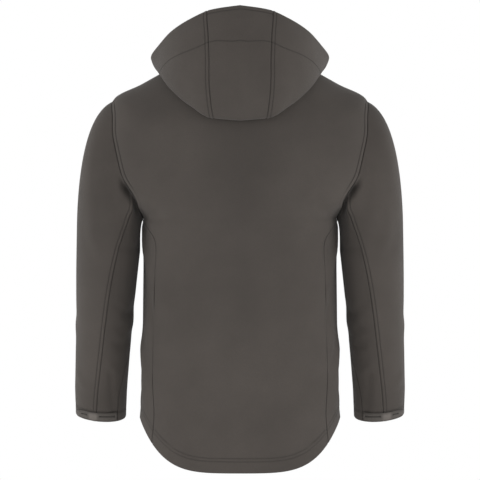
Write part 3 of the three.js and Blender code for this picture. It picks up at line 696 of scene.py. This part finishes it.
def sewing_line(grid, face, side, distance, low=-math.inf, high=math.inf):
    """Where a line of stitching at a distance from one edge runs, as places and normals,
    for the stretch whose first parameter lies between low and high."""
    d = getattr(grid, side)
    parts = [d, face, grid.normal, grid.a]
    if side in ("top", "bottom", "casing"):
        parts = [part.swapaxes(0, 1) for part in parts]
    if side in ("right", "bottom"):
        parts = [part[:, ::-1] for part in parts]
    d, face, normal, a = parts
    place, up = [], []
    for i in range(len(d)):
        k = int(np.argmax(d[i] > distance))
        if k == 0:
            continue
        share = (distance - d[i, k - 1]) / (d[i, k] - d[i, k - 1])
        if low <= a[i, k] <= high:
            place.append(face[i, k - 1] * (1 - share) + face[i, k] * share)
            up.append(normal[i, k - 1] * (1 - share) + normal[i, k] * share)
    return np.array(place), np.array(up)


# A single stitch: its rings along its length, as shares of its length and thickness, and how
# far they drop. It is a little flat, and stands just proud of the cloth.
STITCH_RINGS = ((-0.5, 0.45, 0.30), (-0.26, 1, 0.02), (0.26, 1, 0.02), (0.5, 0.45, 0.30))
STITCH_SIDES = 5
STITCH_PITCH = 3.0
STITCH_LENGTH = 2.3
STITCH_THICK = 0.62
STITCH_FLAT = 0.8
STITCH_PROUD = 0.06
LINE_ENDS = 2


def stitches(name, lines, mirror):
    """Single stitches laid along lines, as one joined mesh."""
    places, ways, ups = [], [], []
    for place, up in lines:
        if len(place) < 2:
            continue
        reach = run(place)
        count = int((reach[-1] - LINE_ENDS) / STITCH_PITCH)
        first = (reach[-1] - (count - 1) * STITCH_PITCH) / 2
        at = np.arange(count) * STITCH_PITCH + first
        places.append(along(at, reach, place))
        ways.append(unit(along(at + 1, reach, place) - along(at - 1, reach, place)))
        ups.append(unit(along(at, reach, up)))
    middle, way, up = (np.concatenate(part) for part in (places, ways, ups))
    across = unit(np.cross(up, way))
    corners = []
    for x, share, drop in STITCH_RINGS:
        for k in range(STITCH_SIDES):
            turn = 2 * math.pi * (k + 0.5) / STITCH_SIDES
            size = share * STITCH_THICK / 2
            high = size * math.sin(turn) * STITCH_FLAT - drop + STITCH_PROUD
            corner = way * x * STITCH_LENGTH + across * size * math.cos(turn)
            corners.append(middle + (corner + up * high))
    vertices = np.stack(corners, 1).reshape(-1, 3) * MM
    if mirror:
        vertices[:, 0] *= -1
    rings = len(STITCH_RINGS)
    template = tube_faces(rings, STITCH_SIDES)
    faces = repeated(template, len(middle), rings * STITCH_SIDES, not mirror)
    return piece(name, new_mesh(name, vertices, faces), thread_grey)


GAP = SEAM_GAP / 2


def arc_angle(at, angle, length):
    place = body(at, angle)
    return length / np.hypot(place[..., 0], place[..., 1])


def back_edges(at):
    edge = angle_at_y(at, side_edge["back"](at))
    start = edge + arc_angle(at, edge, GAP)
    return start, math.pi - start


def front_edges(at):
    edge = angle_at_y(at, side_edge["front"](at))
    return angle_at_front_x(at, ZIP_OPENING), edge - arc_angle(at, edge, GAP)


def side_edges(at):
    back = angle_at_y(at, side_edge["back"](at))
    front_edge = angle_at_y(at, side_edge["front"](at))
    return front_edge + arc_angle(at, front_edge, GAP), back - arc_angle(at, back, GAP)


def sleeve_edges(upper):
    def edges(at):
        gap = GAP / sleeve_at["half"](np.maximum(at, 1))
        back = np.radians(sleeve_seam["back"](at))
        front_seam = np.radians(sleeve_seam["front"](at))
        if upper:
            return front_seam + gap - 2 * math.pi, back - gap
        return back + gap, front_seam - gap

    return edges


def sleeve_from_armhole(at, angle):
    """The sleeve just clear of the armhole."""
    at, angle = np.broadcast_arrays(at, angle)
    return sleeve(at + ARMHOLE_GAP / cap_reach(angle) * np.clip(1 - at, 0, 1), angle)


def hood_centre_edges(at):
    edge = np.radians(hood_seam["angle"](at)) - GAP / HOOD_RADIUS
    return -edge, edge


# The casing's depth at the centre back, and how much shallower it gets between two places
# round the hood, in degrees from there.
CASING_MIDDLE = 1.09
CASING_LESS = ((4, 24, 0.09), (34, 80, 0.24), (86, 104, 0.12))


def casing_scale(from_back):
    """How deep the rim's casing is round the hood, as a share of its depth at the seams."""
    degrees = np.degrees(np.abs(from_back))
    less = sum(part * smooth(low, high, degrees) for low, high, part in CASING_LESS)
    return CASING_MIDDLE - less


def hood_side_edges(at):
    edge = np.radians(hood_seam["angle"](at)) + GAP / HOOD_RADIUS
    return edge, np.full(edge.shape, math.radians(HOOD_END))


def collar_edges(at):
    front_gap = math.asin(ZIP_OPENING / abs(float(body_at["front_y"](0))))
    start = np.full(np.shape(at), front_gap - math.pi / 2)
    return start, 2 * math.pi + start - 2 * front_gap + 0 * start


# Camera and view: a long lens level with the middle of the jacket, behind its back.
PICTURE_PIXELS = 480
PICTURE_SCALE = 1.9
CAMERA_AWAY = 5.0
CAMERA_Z = -0.350
SENSOR = 36.0

camera_data = bpy.data.cameras.new("camera")
camera_data.sensor_width = SENSOR
camera_data.lens = SENSOR * CAMERA_AWAY / (PICTURE_PIXELS * PICTURE_SCALE * MM)
camera = linked("camera", camera_data)
camera.location = (0, CAMERA_AWAY, CAMERA_Z)
camera.rotation_euler = (math.radians(90), 0, math.radians(180))
bpy.context.scene.camera = camera


def shader(name, inputs):
    material = bpy.data.materials.new(name)
    material.use_nodes = True
    surface = material.node_tree.nodes["Principled BSDF"].inputs
    for key, value in inputs.items():
        surface[key].default_value = value
    return material, material.node_tree, surface


def add_node(tree, kind, inputs=(), **settings):
    """A node with its settings, and its inputs set to a value or linked to a socket."""
    node = tree.nodes.new("ShaderNode" + kind)
    for key, value in settings.items():
        setattr(node, key, value)
    for key, value in dict(inputs).items():
        if isinstance(value, bpy.types.NodeSocket):
            tree.links.new(value, node.inputs[key])
        else:
            node.inputs[key].default_value = value
    return node


def mixed(tree, share, *colours):
    first, second = (
        colour if isinstance(colour, bpy.types.NodeSocket) else (*colour, 1.0) for colour in colours
    )
    inputs = {0: share, 6: first, 7: second}
    return add_node(tree, "Mix", inputs, data_type="RGBA").outputs[2]


def uneven(tree, share, colour, mottle):
    """A colour that wanders a little to both sides."""
    low = tuple(part * (1 - mottle) for part in colour)
    high = tuple(part * (1 + mottle) for part in colour)
    return mixed(tree, share, low, high)


def added(tree, first, second):
    return add_node(tree, "Math", {0: first, 1: second}, operation="ADD").outputs[0]


def noise(tree, place, scale, detail, roughness=0.5):
    inputs = {"Vector": place, "Scale": scale, "Detail": detail, "Roughness": roughness}
    return add_node(tree, "TexNoise", inputs).outputs["Fac"]


def remap(tree, value, low, high, to_low, to_high):
    inputs = {0: value, 1: low, 2: high, 3: to_low, 4: to_high}
    return add_node(tree, "MapRange", inputs).outputs[0]


# How much brighter a pad's painted highlight makes it than its cloth, and the wave texture's length
# at scale 1.
PAD_HIGHLIGHT = 1.45
WAVE_LENGTH = 0.314


def woven(name, colour, dark, roughness, sheen, thread, relief, mottle=0.12):
    """Cloth with fine crossing ribs along its own flat lengths, and soft uneven tones. It takes
    painted shade where its mesh's value is above zero, and a painted highlight where it is below."""
    looks = {"Roughness": roughness, "Sheen Weight": sheen, "Sheen Roughness": 0.5}
    material, tree, surface = shader(name, {**looks, "Specular IOR Level": 0.25})
    place = add_node(tree, "TexCoord").outputs
    scale = WAVE_LENGTH / thread
    wave = {"Vector": place["UV"], "Scale": scale, "Distortion": 1.2}
    warp = add_node(tree, "TexWave", wave, bands_direction="DIAGONAL")
    wave = {"Vector": place["UV"], "Scale": scale * 1.3, "Distortion": 0.8}
    weft = add_node(tree, "TexWave", wave, bands_direction="X")
    grain = noise(tree, place["Object"], 950.0, 3.0, 0.6)
    soft = noise(tree, place["Object"], 7.0, 4.0, 0.55)
    # The mesh's value: painted shade in seams, grooves, hollows and shaded stretches, mixed towards
    # the dark colour, and a painted highlight on a pad, where it is below zero.
    painted_light = add_node(tree, "Attribute", attribute_name="painted_light").outputs["Fac"]
    base = uneven(tree, remap(tree, soft, 0.3, 0.7, 0.0, 1.0), colour, mottle)
    base = mixed(tree, remap(tree, grain, 0.35, 0.75, 0.0, 0.3), base, dark)
    base = mixed(tree, painted_light, base, dark)
    padded = remap(tree, painted_light, 0.0, -1.0, 0.0, 1.0)
    base = mixed(tree, padded, base, tuple(part * PAD_HIGHLIGHT for part in colour))
    tree.links.new(base, surface["Base Color"])
    ribs = added(tree, added(tree, warp.outputs["Fac"], weft.outputs["Fac"]), grain)
    inputs = {"Height": ribs, "Strength": 0.5, "Distance": relief}
    rough = add_node(tree, "Bump", inputs)
    tree.links.new(rough.outputs["Normal"], surface["Normal"])
    return material


def satin(name, colour, roughness, metallic, mottle=0.15):
    """Metal, plastic or thread with slightly worn, uneven gloss."""
    material, tree, surface = shader(name, {"Metallic": metallic})
    worn = noise(tree, add_node(tree, "TexCoord").outputs["Object"], 320.0, 4.0)
    gloss = remap(tree, worn, 0.3, 0.7, roughness * 0.8, roughness * 1.25)
    tree.links.new(gloss, surface["Roughness"])
    tree.links.new(uneven(tree, worn, colour, mottle), surface["Base Color"])
    return material


# Threads and reliefs of the cloths are in metres.
softshell = woven(
    "softshell", (0.0985, 0.0855, 0.0763), (0.032, 0.028, 0.025),
    roughness=0.86, sheen=0.12, thread=0.0009, relief=0.00012,
)
tab_grey = woven(
    "tab_grey", (0.132, 0.118, 0.107), (0.018, 0.016, 0.014),
    roughness=0.6, sheen=0.05, thread=0.0012, relief=0.0001, mottle=0.06,
)
tape_grey = woven(
    "tape_grey", (0.05, 0.046, 0.042), (0.02, 0.018, 0.016),
    roughness=0.8, sheen=0.1, thread=0.0007, relief=0.0002, mottle=0.05,
)
thread_grey = satin("thread_grey", (0.066, 0.058, 0.052), roughness=0.7, metallic=0.0)
teeth_grey = satin("teeth_grey", (0.035, 0.033, 0.031), roughness=0.38, metallic=0.0)
slider_metal = satin("slider_metal", (0.20, 0.19, 0.185), roughness=0.34, metallic=0.9)


def cloth(node, grid, relief, lines=(), fold=None, thick=CLOTH, material=softshell,
          mirror=False, meets=()):
    """One cloth piece of the garment with its own stitching, in place of its CAD node. A fold
    is given by the distances from its edge, its depth and how much thicker it is."""
    height, dark = relief
    inside = 0.0
    if fold is not None:
        d, depth, thicker = fold
        inside = thicker * (1 - smooth(depth, depth + FOLD_STEP, d))
    obj, face = shell(
        f"{node}_cloth", grid, height, dark, material, thick, inside, mirror, meets
    )
    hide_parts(node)
    if lines:
        places = [sewing_line(grid, face, *line) for line in lines]
        stitches(f"{node}_stitches", places, mirror)


# Where the seams of the body change, in its rings. The armhole's twin seam fades towards the
# underarm, and its stitches end there.
SHOULDER_ENDS, ARMHOLE_STARTS = (2.97, 3.03), (3.0, 3.06)
ARMHOLE_FADES, ARMHOLE_FADE = (5.2, 5.7), 0.8
ARMHOLE_ENDS, SIDE_SEAM_STARTS = (6.93, 7.0), (6.97, 7.05)
ARMHOLE_STITCHES = (ARMHOLE_TWIN_GAP, 3.02, 5.5)
HEM_STITCHES = [("bottom", line) for line in HEM_LINES]
CUFF_STITCHES = [("bottom", line) for line in CUFF_LINES]

# How far the inside of each stitched edge reaches past it.
BODY_MEETS = {"left": 0.7, "right": 0.7, "top": 0.7}
FRONT_MEETS = {"right": 0.7, "top": 0.7}
SLEEVE_MEETS = {"left": 0.6, "right": 0.6, "top": 1.6}
HOOD_SIDE_MEETS = {"left": 0.6, "bottom": 0.6}
HOOD_CENTRE_MEETS = {"left": 0.6, "right": 0.6, "bottom": 0.6}
COLLAR_MEETS = {"bottom": 1.2}


def body_relief(grid, sides, folds):
    """Height of a body panel's seams, hem and creases, and the painted shade in its seam and hem
    grooves.
    """
    armhole = smooth(*ARMHOLE_STARTS, grid.a)
    armhole = armhole * (1 - ARMHOLE_FADE * smooth(*ARMHOLE_FADES, grid.a))
    armhole = armhole * (1 - smooth(*ARMHOLE_ENDS, grid.a))
    plain = np.maximum(smooth(*SIDE_SEAM_STARTS, grid.a), 1 - smooth(*SHOULDER_ENDS, grid.a))
    twin = at_edges(twin_seam, grid, sides, ARMHOLE_TWIN_GAP, ARMHOLE_SEAM, ARMHOLE_LINE)
    return combined(
        hemmed(grid.bottom, HEM_LINES),
        *(weighed(armhole, part) for part in twin),
        *(weighed(plain, part) for part in at_edges(plain_seam, grid, sides)),
        creases(grid.place[..., 0], grid.place[..., 2], folds),
    )


# Creases from one place to another, with their width, height and bend: in X and Z on the
# back, fronts and hood, in Y and Z on the side panels, and round and along the sleeves.
BACK_FOLDS = (
    (58, -640, 52, -775, 20, 2.2, 0),
    (-58, -636, -54, -775, 20, 2.2, 0),
    (0, -640, 0, -775, 17, -1.2, 0),
    (200, -285, 120, -215, 14, 2.4, 10),
    (-200, -285, -122, -220, 14, 2.2, -10),
    (176, -330, 110, -262, 12, 1.6, 8),
    (-178, -335, -114, -268, 12, 1.6, -8),
    (150, -360, 128, -520, 13, 1.4, 6),
    (-152, -372, -132, -530, 13, 1.4, -6),
)
FRONT_FOLDS = (
    (196, -286, 130, -232, 13, 2.4, 8),
    (176, -320, 118, -276, 12, 1.6, 6),
    (60, -610, 66, -720, 18, 1.8, 0),
    (110, -560, 140, -700, 16, 1.6, 5),
    (36, -140, 60, -260, 16, 1.0, 4),
)
SIDE_CREASES = (
    (20, -330, 58, -470, 9, 2.6, 5),
    (44, -400, 66, -560, 8, -2.6, 4),
    (10, -520, 56, -620, 10, 2.8, -4),
    (-30, -420, -66, -560, 11, 1.6, 5),
    (-10, -600, -40, -700, 10, 1.4, 4),
)
UPPER_FOLDS = (
    (60, 60, 92, 120, 12, 1.6, 5),
    (-60, 210, 20, 260, 12, 1.6, 6),
    (-110, 190, -40, 236, 11, 1.8, -5),
    (20, 330, 70, 372, 12, 1.2, 4),
)
UNDER_FOLDS = (
    (112, 196, 168, 214, 7, -1.6, 3),
    (106, 226, 176, 240, 8, 1.8, -3),
    (110, 262, 160, 276, 7, -1.6, 2),
    (104, 300, 150, 330, 9, 1.2, 3),
)
HOOD_FOLDS = (
    (23, 20, 23, -90, 9, 1.0, 0),
    (-23, 22, -22, -92, 9, 1.0, 0),
    (0, 0, 0, -95, 10, -0.5, 0),
)

# Painted shade down the middle of the back, most of all between the shoulders, and on
# the under sleeve down to some of its rings.
SPINE_PAINTED_SHADE = {"wide": 75.0, "dark": 0.33, "low": -600, "high": -160}
UNDER_PAINTED_SHADE, UNDER_PAINTED_SHADE_ENDS = 0.25, (3, 4.5)
CAP_SEAM = 0.4

# Deep hollows where the sleeve folds into the back of the underarm: the angle and ring of
# each, its width, its length in rings, its depth and the painted shade in it.
PITS = (
    (116, 0.06, 8.5, 0.09, 8.0, 1.0),
    (133, 0.05, 12, 0.11, 6.0, 0.8),
    (150, 0.05, 14, 0.16, 3.0, 0.6),
)
PIT_STARTS = (-0.02, 0.03)


def sleeve_relief(grid, folds):
    """Creases and underarm hollows of a sleeve's panel, with painted shade in the hollows."""
    u, v = grid.b * FOLD_RADIUS, grid.a * FOLD_PITCH
    height, dark = 0 * u, 0 * u
    for angle, at, wide, long, deep, painted_shade in PITS:
        hollow = bump(u - math.radians(angle) * FOLD_RADIUS, wide) * bump(grid.a - at, long)
        height = height - deep * hollow * smooth(*PIT_STARTS, grid.a)
        # Painted shade in each hollow.
        dark = dark + painted_shade * hollow
    return combined(creases(u, v, folds), (height, dark))


back = Grid(body, 0, HEM, back_edges, ARMHOLE_MARKS, ARMHOLE_MARKS, bottom=HEM_MARKS)
# Painted shade down the middle of the back, stronger higher up.
spine_shade = SPINE_PAINTED_SHADE["dark"] * bump(back.place[..., 0], SPINE_PAINTED_SHADE["wide"])
spine_shade = spine_shade * smooth(SPINE_PAINTED_SHADE["low"], SPINE_PAINTED_SHADE["high"], back.place[..., 2])
cloth(
    "back", back,
    combined(body_relief(back, "left right", BACK_FOLDS), plain_seam(back.top), (0, spine_shade)),
    [("left", *ARMHOLE_STITCHES), ("right", *ARMHOLE_STITCHES), *HEM_STITCHES],
    (back.bottom, *HEM_FOLD), meets=BODY_MEETS,
)

HANDS = (("left", False), ("right", True))
for hand, mirror in HANDS:
    panel = Grid(body, 0, HEM, front_edges, right=ARMHOLE_MARKS, bottom=HEM_MARKS)
    cloth(
        f"front_{hand}", panel,
        combined(
            body_relief(panel, "right", FRONT_FOLDS), plain_seam(panel.top),
            groove(panel.left, *ROLLED_EDGE), groove(panel.left - FRONT_LINE, *STITCH_LINE),
        ),
        [("right", *ARMHOLE_STITCHES), *HEM_STITCHES, ("left", FRONT_LINE)],
        (panel.bottom, *HEM_FOLD), mirror=mirror, meets=FRONT_MEETS,
    )

    panel = Grid(body, UNDERARM, HEM, side_edges, bottom=HEM_MARKS)
    cloth(
        f"side_{hand}", panel,
        combined(
            hemmed(panel.bottom, HEM_LINES), *at_edges(plain_seam, panel, "left right top"),
            creases(panel.place[..., 1], panel.place[..., 2], SIDE_CREASES),
        ),
        HEM_STITCHES, (panel.bottom, *HEM_FOLD), mirror=mirror, meets=BODY_MEETS,
    )

    edges = sleeve_edges(upper=True)
    panel = Grid(sleeve_from_armhole, 0, CUFF, edges, right=TWIN_MARKS, bottom=CUFF_MARKS)
    cloth(
        f"sleeve_upper_{hand}", panel,
        combined(
            weighed(CAP_SEAM, plain_seam(panel.top)), plain_seam(panel.left),
            twin_seam(panel.right), hemmed(panel.bottom, CUFF_LINES),
            sleeve_relief(panel, UPPER_FOLDS),
        ),
        [("right", TWIN_GAP), *CUFF_STITCHES],
        (panel.bottom, *CUFF_FOLD), mirror=mirror, meets=SLEEVE_MEETS,
    )

    edges = sleeve_edges(upper=False)
    panel = Grid(sleeve_from_armhole, 0, CUFF, edges, bottom=CUFF_MARKS)
    cloth(
        f"sleeve_under_{hand}", panel,
        combined(
            *at_edges(plain_seam, panel, "top left right"), hemmed(panel.bottom, CUFF_LINES),
            sleeve_relief(panel, UNDER_FOLDS),
            # Painted shade on the under sleeve near the armhole, fading out down its rings.
            (0, UNDER_PAINTED_SHADE * (1 - smooth(*UNDER_PAINTED_SHADE_ENDS, panel.a))),
        ),
        CUFF_STITCHES, (panel.bottom, *CUFF_FOLD), mirror=mirror, meets=SLEEVE_MEETS,
    )

    panel = Grid(
        hood, 2, 0, hood_side_edges, TWIN_MARKS, top=HOOD_RIM_MARKS, top_scale=casing_scale
    )
    cloth(
        f"hood_side_{hand}", panel,
        combined(
            twin_seam(panel.left), plain_seam(panel.right), groove(panel.top, *ROLLED_EDGE),
            plain_seam(panel.bottom), groove(panel.casing - CASING_DEPTH, *STITCH_LINE),
        ),
        [("left", TWIN_GAP), ("casing", CASING_DEPTH)],
        (panel.casing, *CASING_FOLD), mirror=mirror, meets=HOOD_SIDE_MEETS,
    )

hood_back = Grid(hood, 2, 0, hood_centre_edges, top=HOOD_RIM_MARKS, top_scale=casing_scale)
hood_creases = creases(hood_back.place[..., 0], hood_back.place[..., 2], HOOD_FOLDS)
cloth(
    "hood_centre", hood_back,
    combined(
        *at_edges(plain_seam, hood_back, "left right"), groove(hood_back.top, *ROLLED_EDGE),
        groove(hood_back.top - RIM_LINE, *STITCH_LINE), plain_seam(hood_back.bottom),
        groove(hood_back.casing - CASING_DEPTH, *STITCH_LINE),
        weighed(hood_back.a > 1, hood_creases),
    ),
    [("top", RIM_LINE), ("casing", CASING_DEPTH)],
    (hood_back.casing, *CASING_FOLD), meets=HOOD_CENTRE_MEETS,
)

neck = Grid(collar, 1, 0, collar_edges, top=RIM_MARKS, flip=True)
cloth(
    "collar", neck,
    combined(
        *at_edges(groove, neck, "left right top", *ROLLED_EDGE),
        groove(neck.top - COLLAR_LINE, *STITCH_LINE), plain_seam(neck.bottom),
    ),
    [("top", COLLAR_LINE)], thick=COLLAR_CLOTH, meets=COLLAR_MEETS,
)

# Where a cuff tab's slots and its padded middle lie, in degrees round the cuff, and how far
# its outer end sinks.
TAB_SLOT_OUTER, TAB_PAD, TAB_SLOT_INNER = (46, 63), (64, 88.5), (89, 125)
TAB_SLOT_HEIGHT, TAB_SLOT_WIDE, TAB_SLOT_DEEP = 0.4, 0.1, 1.3
TAB_PAD_SLOPE, TAB_PAD_HIGH = 7, 0.8
TAB_END_SINKS, TAB_END_LONG = 1.9, 24
TAB_STITCH = 1.8


def tab_slot(degrees, high, start, end):
    """A stretch of a cuff tab where its top layer is stitched down into a narrow channel, with
    painted shade in the channel, deepest at its ends.
    """
    channel = smooth(start - 1, start + 1.5, degrees)
    channel = channel * (1 - smooth(end - 1.5, end + 1, degrees))
    channel = channel * bump(high - TAB_SLOT_HEIGHT, TAB_SLOT_WIDE)
    ends = bump(degrees - start - 1, 2.5) + bump(degrees - end + 1, 2.5)
    # The channel sinks, with painted shade in it.
    return -TAB_SLOT_DEEP * channel, channel * (0.7 + 0.3 * ends)


def cuff_tab_relief(grid):
    degrees = np.degrees(grid.b)
    high = grid.down / grid.down[-1]
    start, end = TAB_PAD
    pad = smooth(start, start + TAB_PAD_SLOPE, degrees)
    pad = pad * (1 - smooth(end - TAB_PAD_SLOPE, end, degrees))
    pad = pad * (1 - np.abs(2 * high - 1) ** 3)
    sinks = TAB_END_SINKS * (1 - smooth(TAB_FROM, TAB_FROM + TAB_END_LONG, degrees))
    return combined(
        *at_edges(groove, grid, "left right top bottom", *TAB_EDGE),
        tab_slot(degrees, high, *TAB_SLOT_OUTER), tab_slot(degrees, high, *TAB_SLOT_INNER),
        # The pad rises, and a painted highlight lies on it.
        (TAB_PAD_HIGH * pad - sinks, -pad),
        groove(grid.top - TAB_STITCH, *TAB_LINE), groove(grid.bottom - TAB_STITCH, *TAB_LINE),
    )


# The share of the collar's height over which the zip tape moves in behind it.
TAPE_MOVES_IN = 0.2
TAPE_RIB, TAPE_RIB_PITCH = 0.12, 2.4
PER_RING = float(sleeve_at["z"](CUFF - 1) - sleeve_at["z"](CUFF))
TAB_LOW = CUFF - TAB_ABOVE_EDGE / PER_RING


def tape(at, x):
    """The zip tape's face, behind the front edges and further in behind the double collar."""
    on_collar = np.clip(-np.asarray(at, float) / TAPE_MOVES_IN, 0, 1)
    depth = CLOTH + (COLLAR_CLOTH - CLOTH) * on_collar + TAPE_CLEARANCE
    depth = np.broadcast_to(depth, np.broadcast(at, x).shape)
    return front(at, x) - normal_at(front, at, x) * depth[..., None]


def tab_place(high, angle):
    """The sleeve under a cuff tab, from its upper edge (0) to its lower one (1). The tab is
    narrower at its outer end."""
    full = smooth(TAB_FROM, TAB_FULL, np.degrees(angle))
    tall = TAB_END_HEIGHT + (TAB_HEIGHT - TAB_END_HEIGHT) * full
    return sleeve(TAB_LOW - (1 - high) * tall / PER_RING, angle)


def between(start, end):
    """Edges of a panel that keep to two values of its second parameter."""
    return lambda at: (np.full(np.shape(at), start), np.full(np.shape(at), end))


tab_edges = between(math.radians(TAB_FROM), math.radians(TAB_TO))
tape_edges = between(CHAIN_HALF + SEAM_GAP, TAPE_HALF)
for hand, mirror in HANDS:
    tab = Grid(tab_place, 0, 1, tab_edges, TAB_MARKS, TAB_MARKS, TAB_MARKS, TAB_MARKS, TAB_CELL)
    height, dark = cuff_tab_relief(tab)
    cloth(
        f"cuff_tab_{hand}", tab, (height + TAB_LIFT + TAB_CLOTH, dark), thick=-TAB_LIFT,
        material=tab_grey, mirror=mirror,
    )

    strip = Grid(
        tape, ZIP_TOP, ZIP_FOOT, tape_edges,
        TAPE_MARKS, TAPE_MARKS, TAPE_END_MARKS, TAPE_END_MARKS, TAPE_CELL,
    )
    ribs = TAPE_RIB * np.cos(strip.across * 2 * math.pi / TAPE_RIB_PITCH)
    cloth(
        f"zip_tape_{hand}", strip, (ribs, 0 * ribs), thick=TAPE_CLOTH,
        material=tape_grey, mirror=mirror,
    )

# The zip's teeth. Corners across one: its foot on the tape, its waist, and its head past the
# centre, in millimetres and in shares of its height. Its layers, from front to back, are how
# far out they lie and how high they are.
TOOTH_PITCH = 2.9
TOOTH_TALL = 1.75
TEETH_BEHIND = 3.0
TOOTH_OUTLINE = (
    *((3.0, 0.32), (0.9, 0.32), (0.1, 0.5), (-1.0, 0.34)),
    *((-1.0, -0.34), (0.1, -0.5), (0.9, -0.32), (3.0, -0.32)),
)
TOOTH_LAYERS = ((1.3, 0.72), (0.95, 1.0), (-0.95, 1.0), (-1.3, 0.72))
FIRST_TOOTH, ZIP_SAMPLES = 1, 1600


def zip_teeth():
    """Moulded teeth in two interlocking rows along the closed zip, as one joined mesh."""
    fine = np.linspace(ZIP_TOP, ZIP_FOOT, ZIP_SAMPLES)
    reach = run(front(fine, np.zeros(fine.shape)))
    count = int(reach[-1] / (TOOTH_PITCH / 2))
    at = np.interp(np.arange(count) * TOOTH_PITCH / 2 + FIRST_TOOTH, reach, fine)
    place = front(at, np.zeros(count))
    outward = normal_at(front, at, np.zeros(count))
    down = unit(front(at + PROBE, np.zeros(count)) - place)
    over = np.cross(outward, down)
    hand = np.where(np.arange(count) % 2, 1, -1)[:, None]
    corners = []
    for deep, grow in TOOTH_LAYERS:
        for x, z in TOOTH_OUTLINE:
            corner = over * hand * x + down * z * TOOTH_TALL * grow
            corners.append(place + corner + outward * (deep - TEETH_BEHIND))
    template = tube_faces(len(TOOTH_LAYERS), len(TOOTH_OUTLINE))
    faces = repeated(template, count, len(corners), hand[:, 0] < 0)
    vertices = np.stack(corners, 1).reshape(-1, 3) * MM
    return new_mesh("zip_teeth", vertices, faces, smooth_faces=False)


teeth = piece("zip_teeth", zip_teeth(), teeth_grey)
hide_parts("zip_chain")
for node in ("zip_slider", "zip_pull"):
    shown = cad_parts[node]
    shown.data.materials.clear()
    shown.data.materials.append(slider_metal)


# A pale round floor below the jacket, small enough to stay out of the picture.
FLOOR_Z = -1.15
FLOOR_RADIUS = 3.4
FLOOR_SIDES = 96
turns = [2 * math.pi * k / FLOOR_SIDES for k in range(FLOOR_SIDES)]
corners = [(FLOOR_RADIUS * math.cos(t), FLOOR_RADIUS * math.sin(t), FLOOR_Z) for t in turns]
floor_mesh = new_mesh("floor", corners, [range(FLOOR_SIDES)], smooth_faces=False)
floor = linked("floor", floor_mesh)
pale, pale_tree, pale_surface = shader("pale_floor", {"Roughness": 0.9})
pale_place = add_node(pale_tree, "TexCoord").outputs["Object"]
pale_tone = mixed(
    pale_tree, noise(pale_tree, pale_place, 2.0, 2.0), (0.78, 0.78, 0.77), (0.84, 0.84, 0.83)
)
pale_tree.links.new(pale_tone, pale_surface["Base Color"])
floor_mesh.materials.append(pale)

# Three softboxes, one on each side and one low behind the jacket's back: where they are, how
# high the place on the jacket is that they face, their sizes and powers. They stay out of
# every picture.
SOFTBOXES = (
    ("softbox_left", 3.2, 1.2, -0.35, -0.45, 1.6, 2.2, 34.0),
    ("softbox_right", -3.2, 1.2, -0.35, -0.45, 1.6, 2.2, 34.0),
    ("softbox_low", 0, 1.7, -1.0, -0.6, 2.4, 0.3, 6.5),
)
for name, x, y, z, aim, wide, tall, power in SOFTBOXES:
    data = bpy.data.lights.new(name, "AREA")
    data.shape = "RECTANGLE"
    data.size, data.size_y = wide, tall
    data.energy = power
    light = linked(name, data)
    light.location = (x, y, z)
    way = Vector((0, 0, aim)) - Vector((x, y, z))
    light.rotation_euler = way.to_track_quat("-Z", "Y").to_euler()
    light.visible_camera = False

# Studio walls of soft white light: the way to each side of the room, the span over which its
# light comes in, and how bright it is.
WALLS = (
    (0, -1, 0, 0.0, 0.9, 1.0),
    (0, 1, 0, 0.0, 0.9, 0.42),
    (1, 0, 0, 0.3, 1.0, 0.4),
    (-1, 0, 0, 0.3, 1.0, 0.4),
    (0, 0, 1, 0.2, 1.0, 0.13),
)
world = bpy.data.worlds.new("studio")
world.use_nodes = True
studio = world.node_tree
direction = add_node(studio, "TexCoord").outputs["Generated"]
brightness = 0.0
for x, y, z, low, high, bright in WALLS:
    inputs = {0: direction, 1: (x, y, z)}
    towards = add_node(studio, "VectorMath", inputs, operation="DOT_PRODUCT")
    part = remap(studio, towards.outputs["Value"], low, high, 0.0, bright)
    brightness = added(studio, brightness, part)
background = studio.nodes["Background"].inputs
studio.links.new(brightness, background["Strength"])
background["Color"].default_value = (1, 1, 1, 1)
scene.world = world
scene.view_settings.view_transform = "Standard"
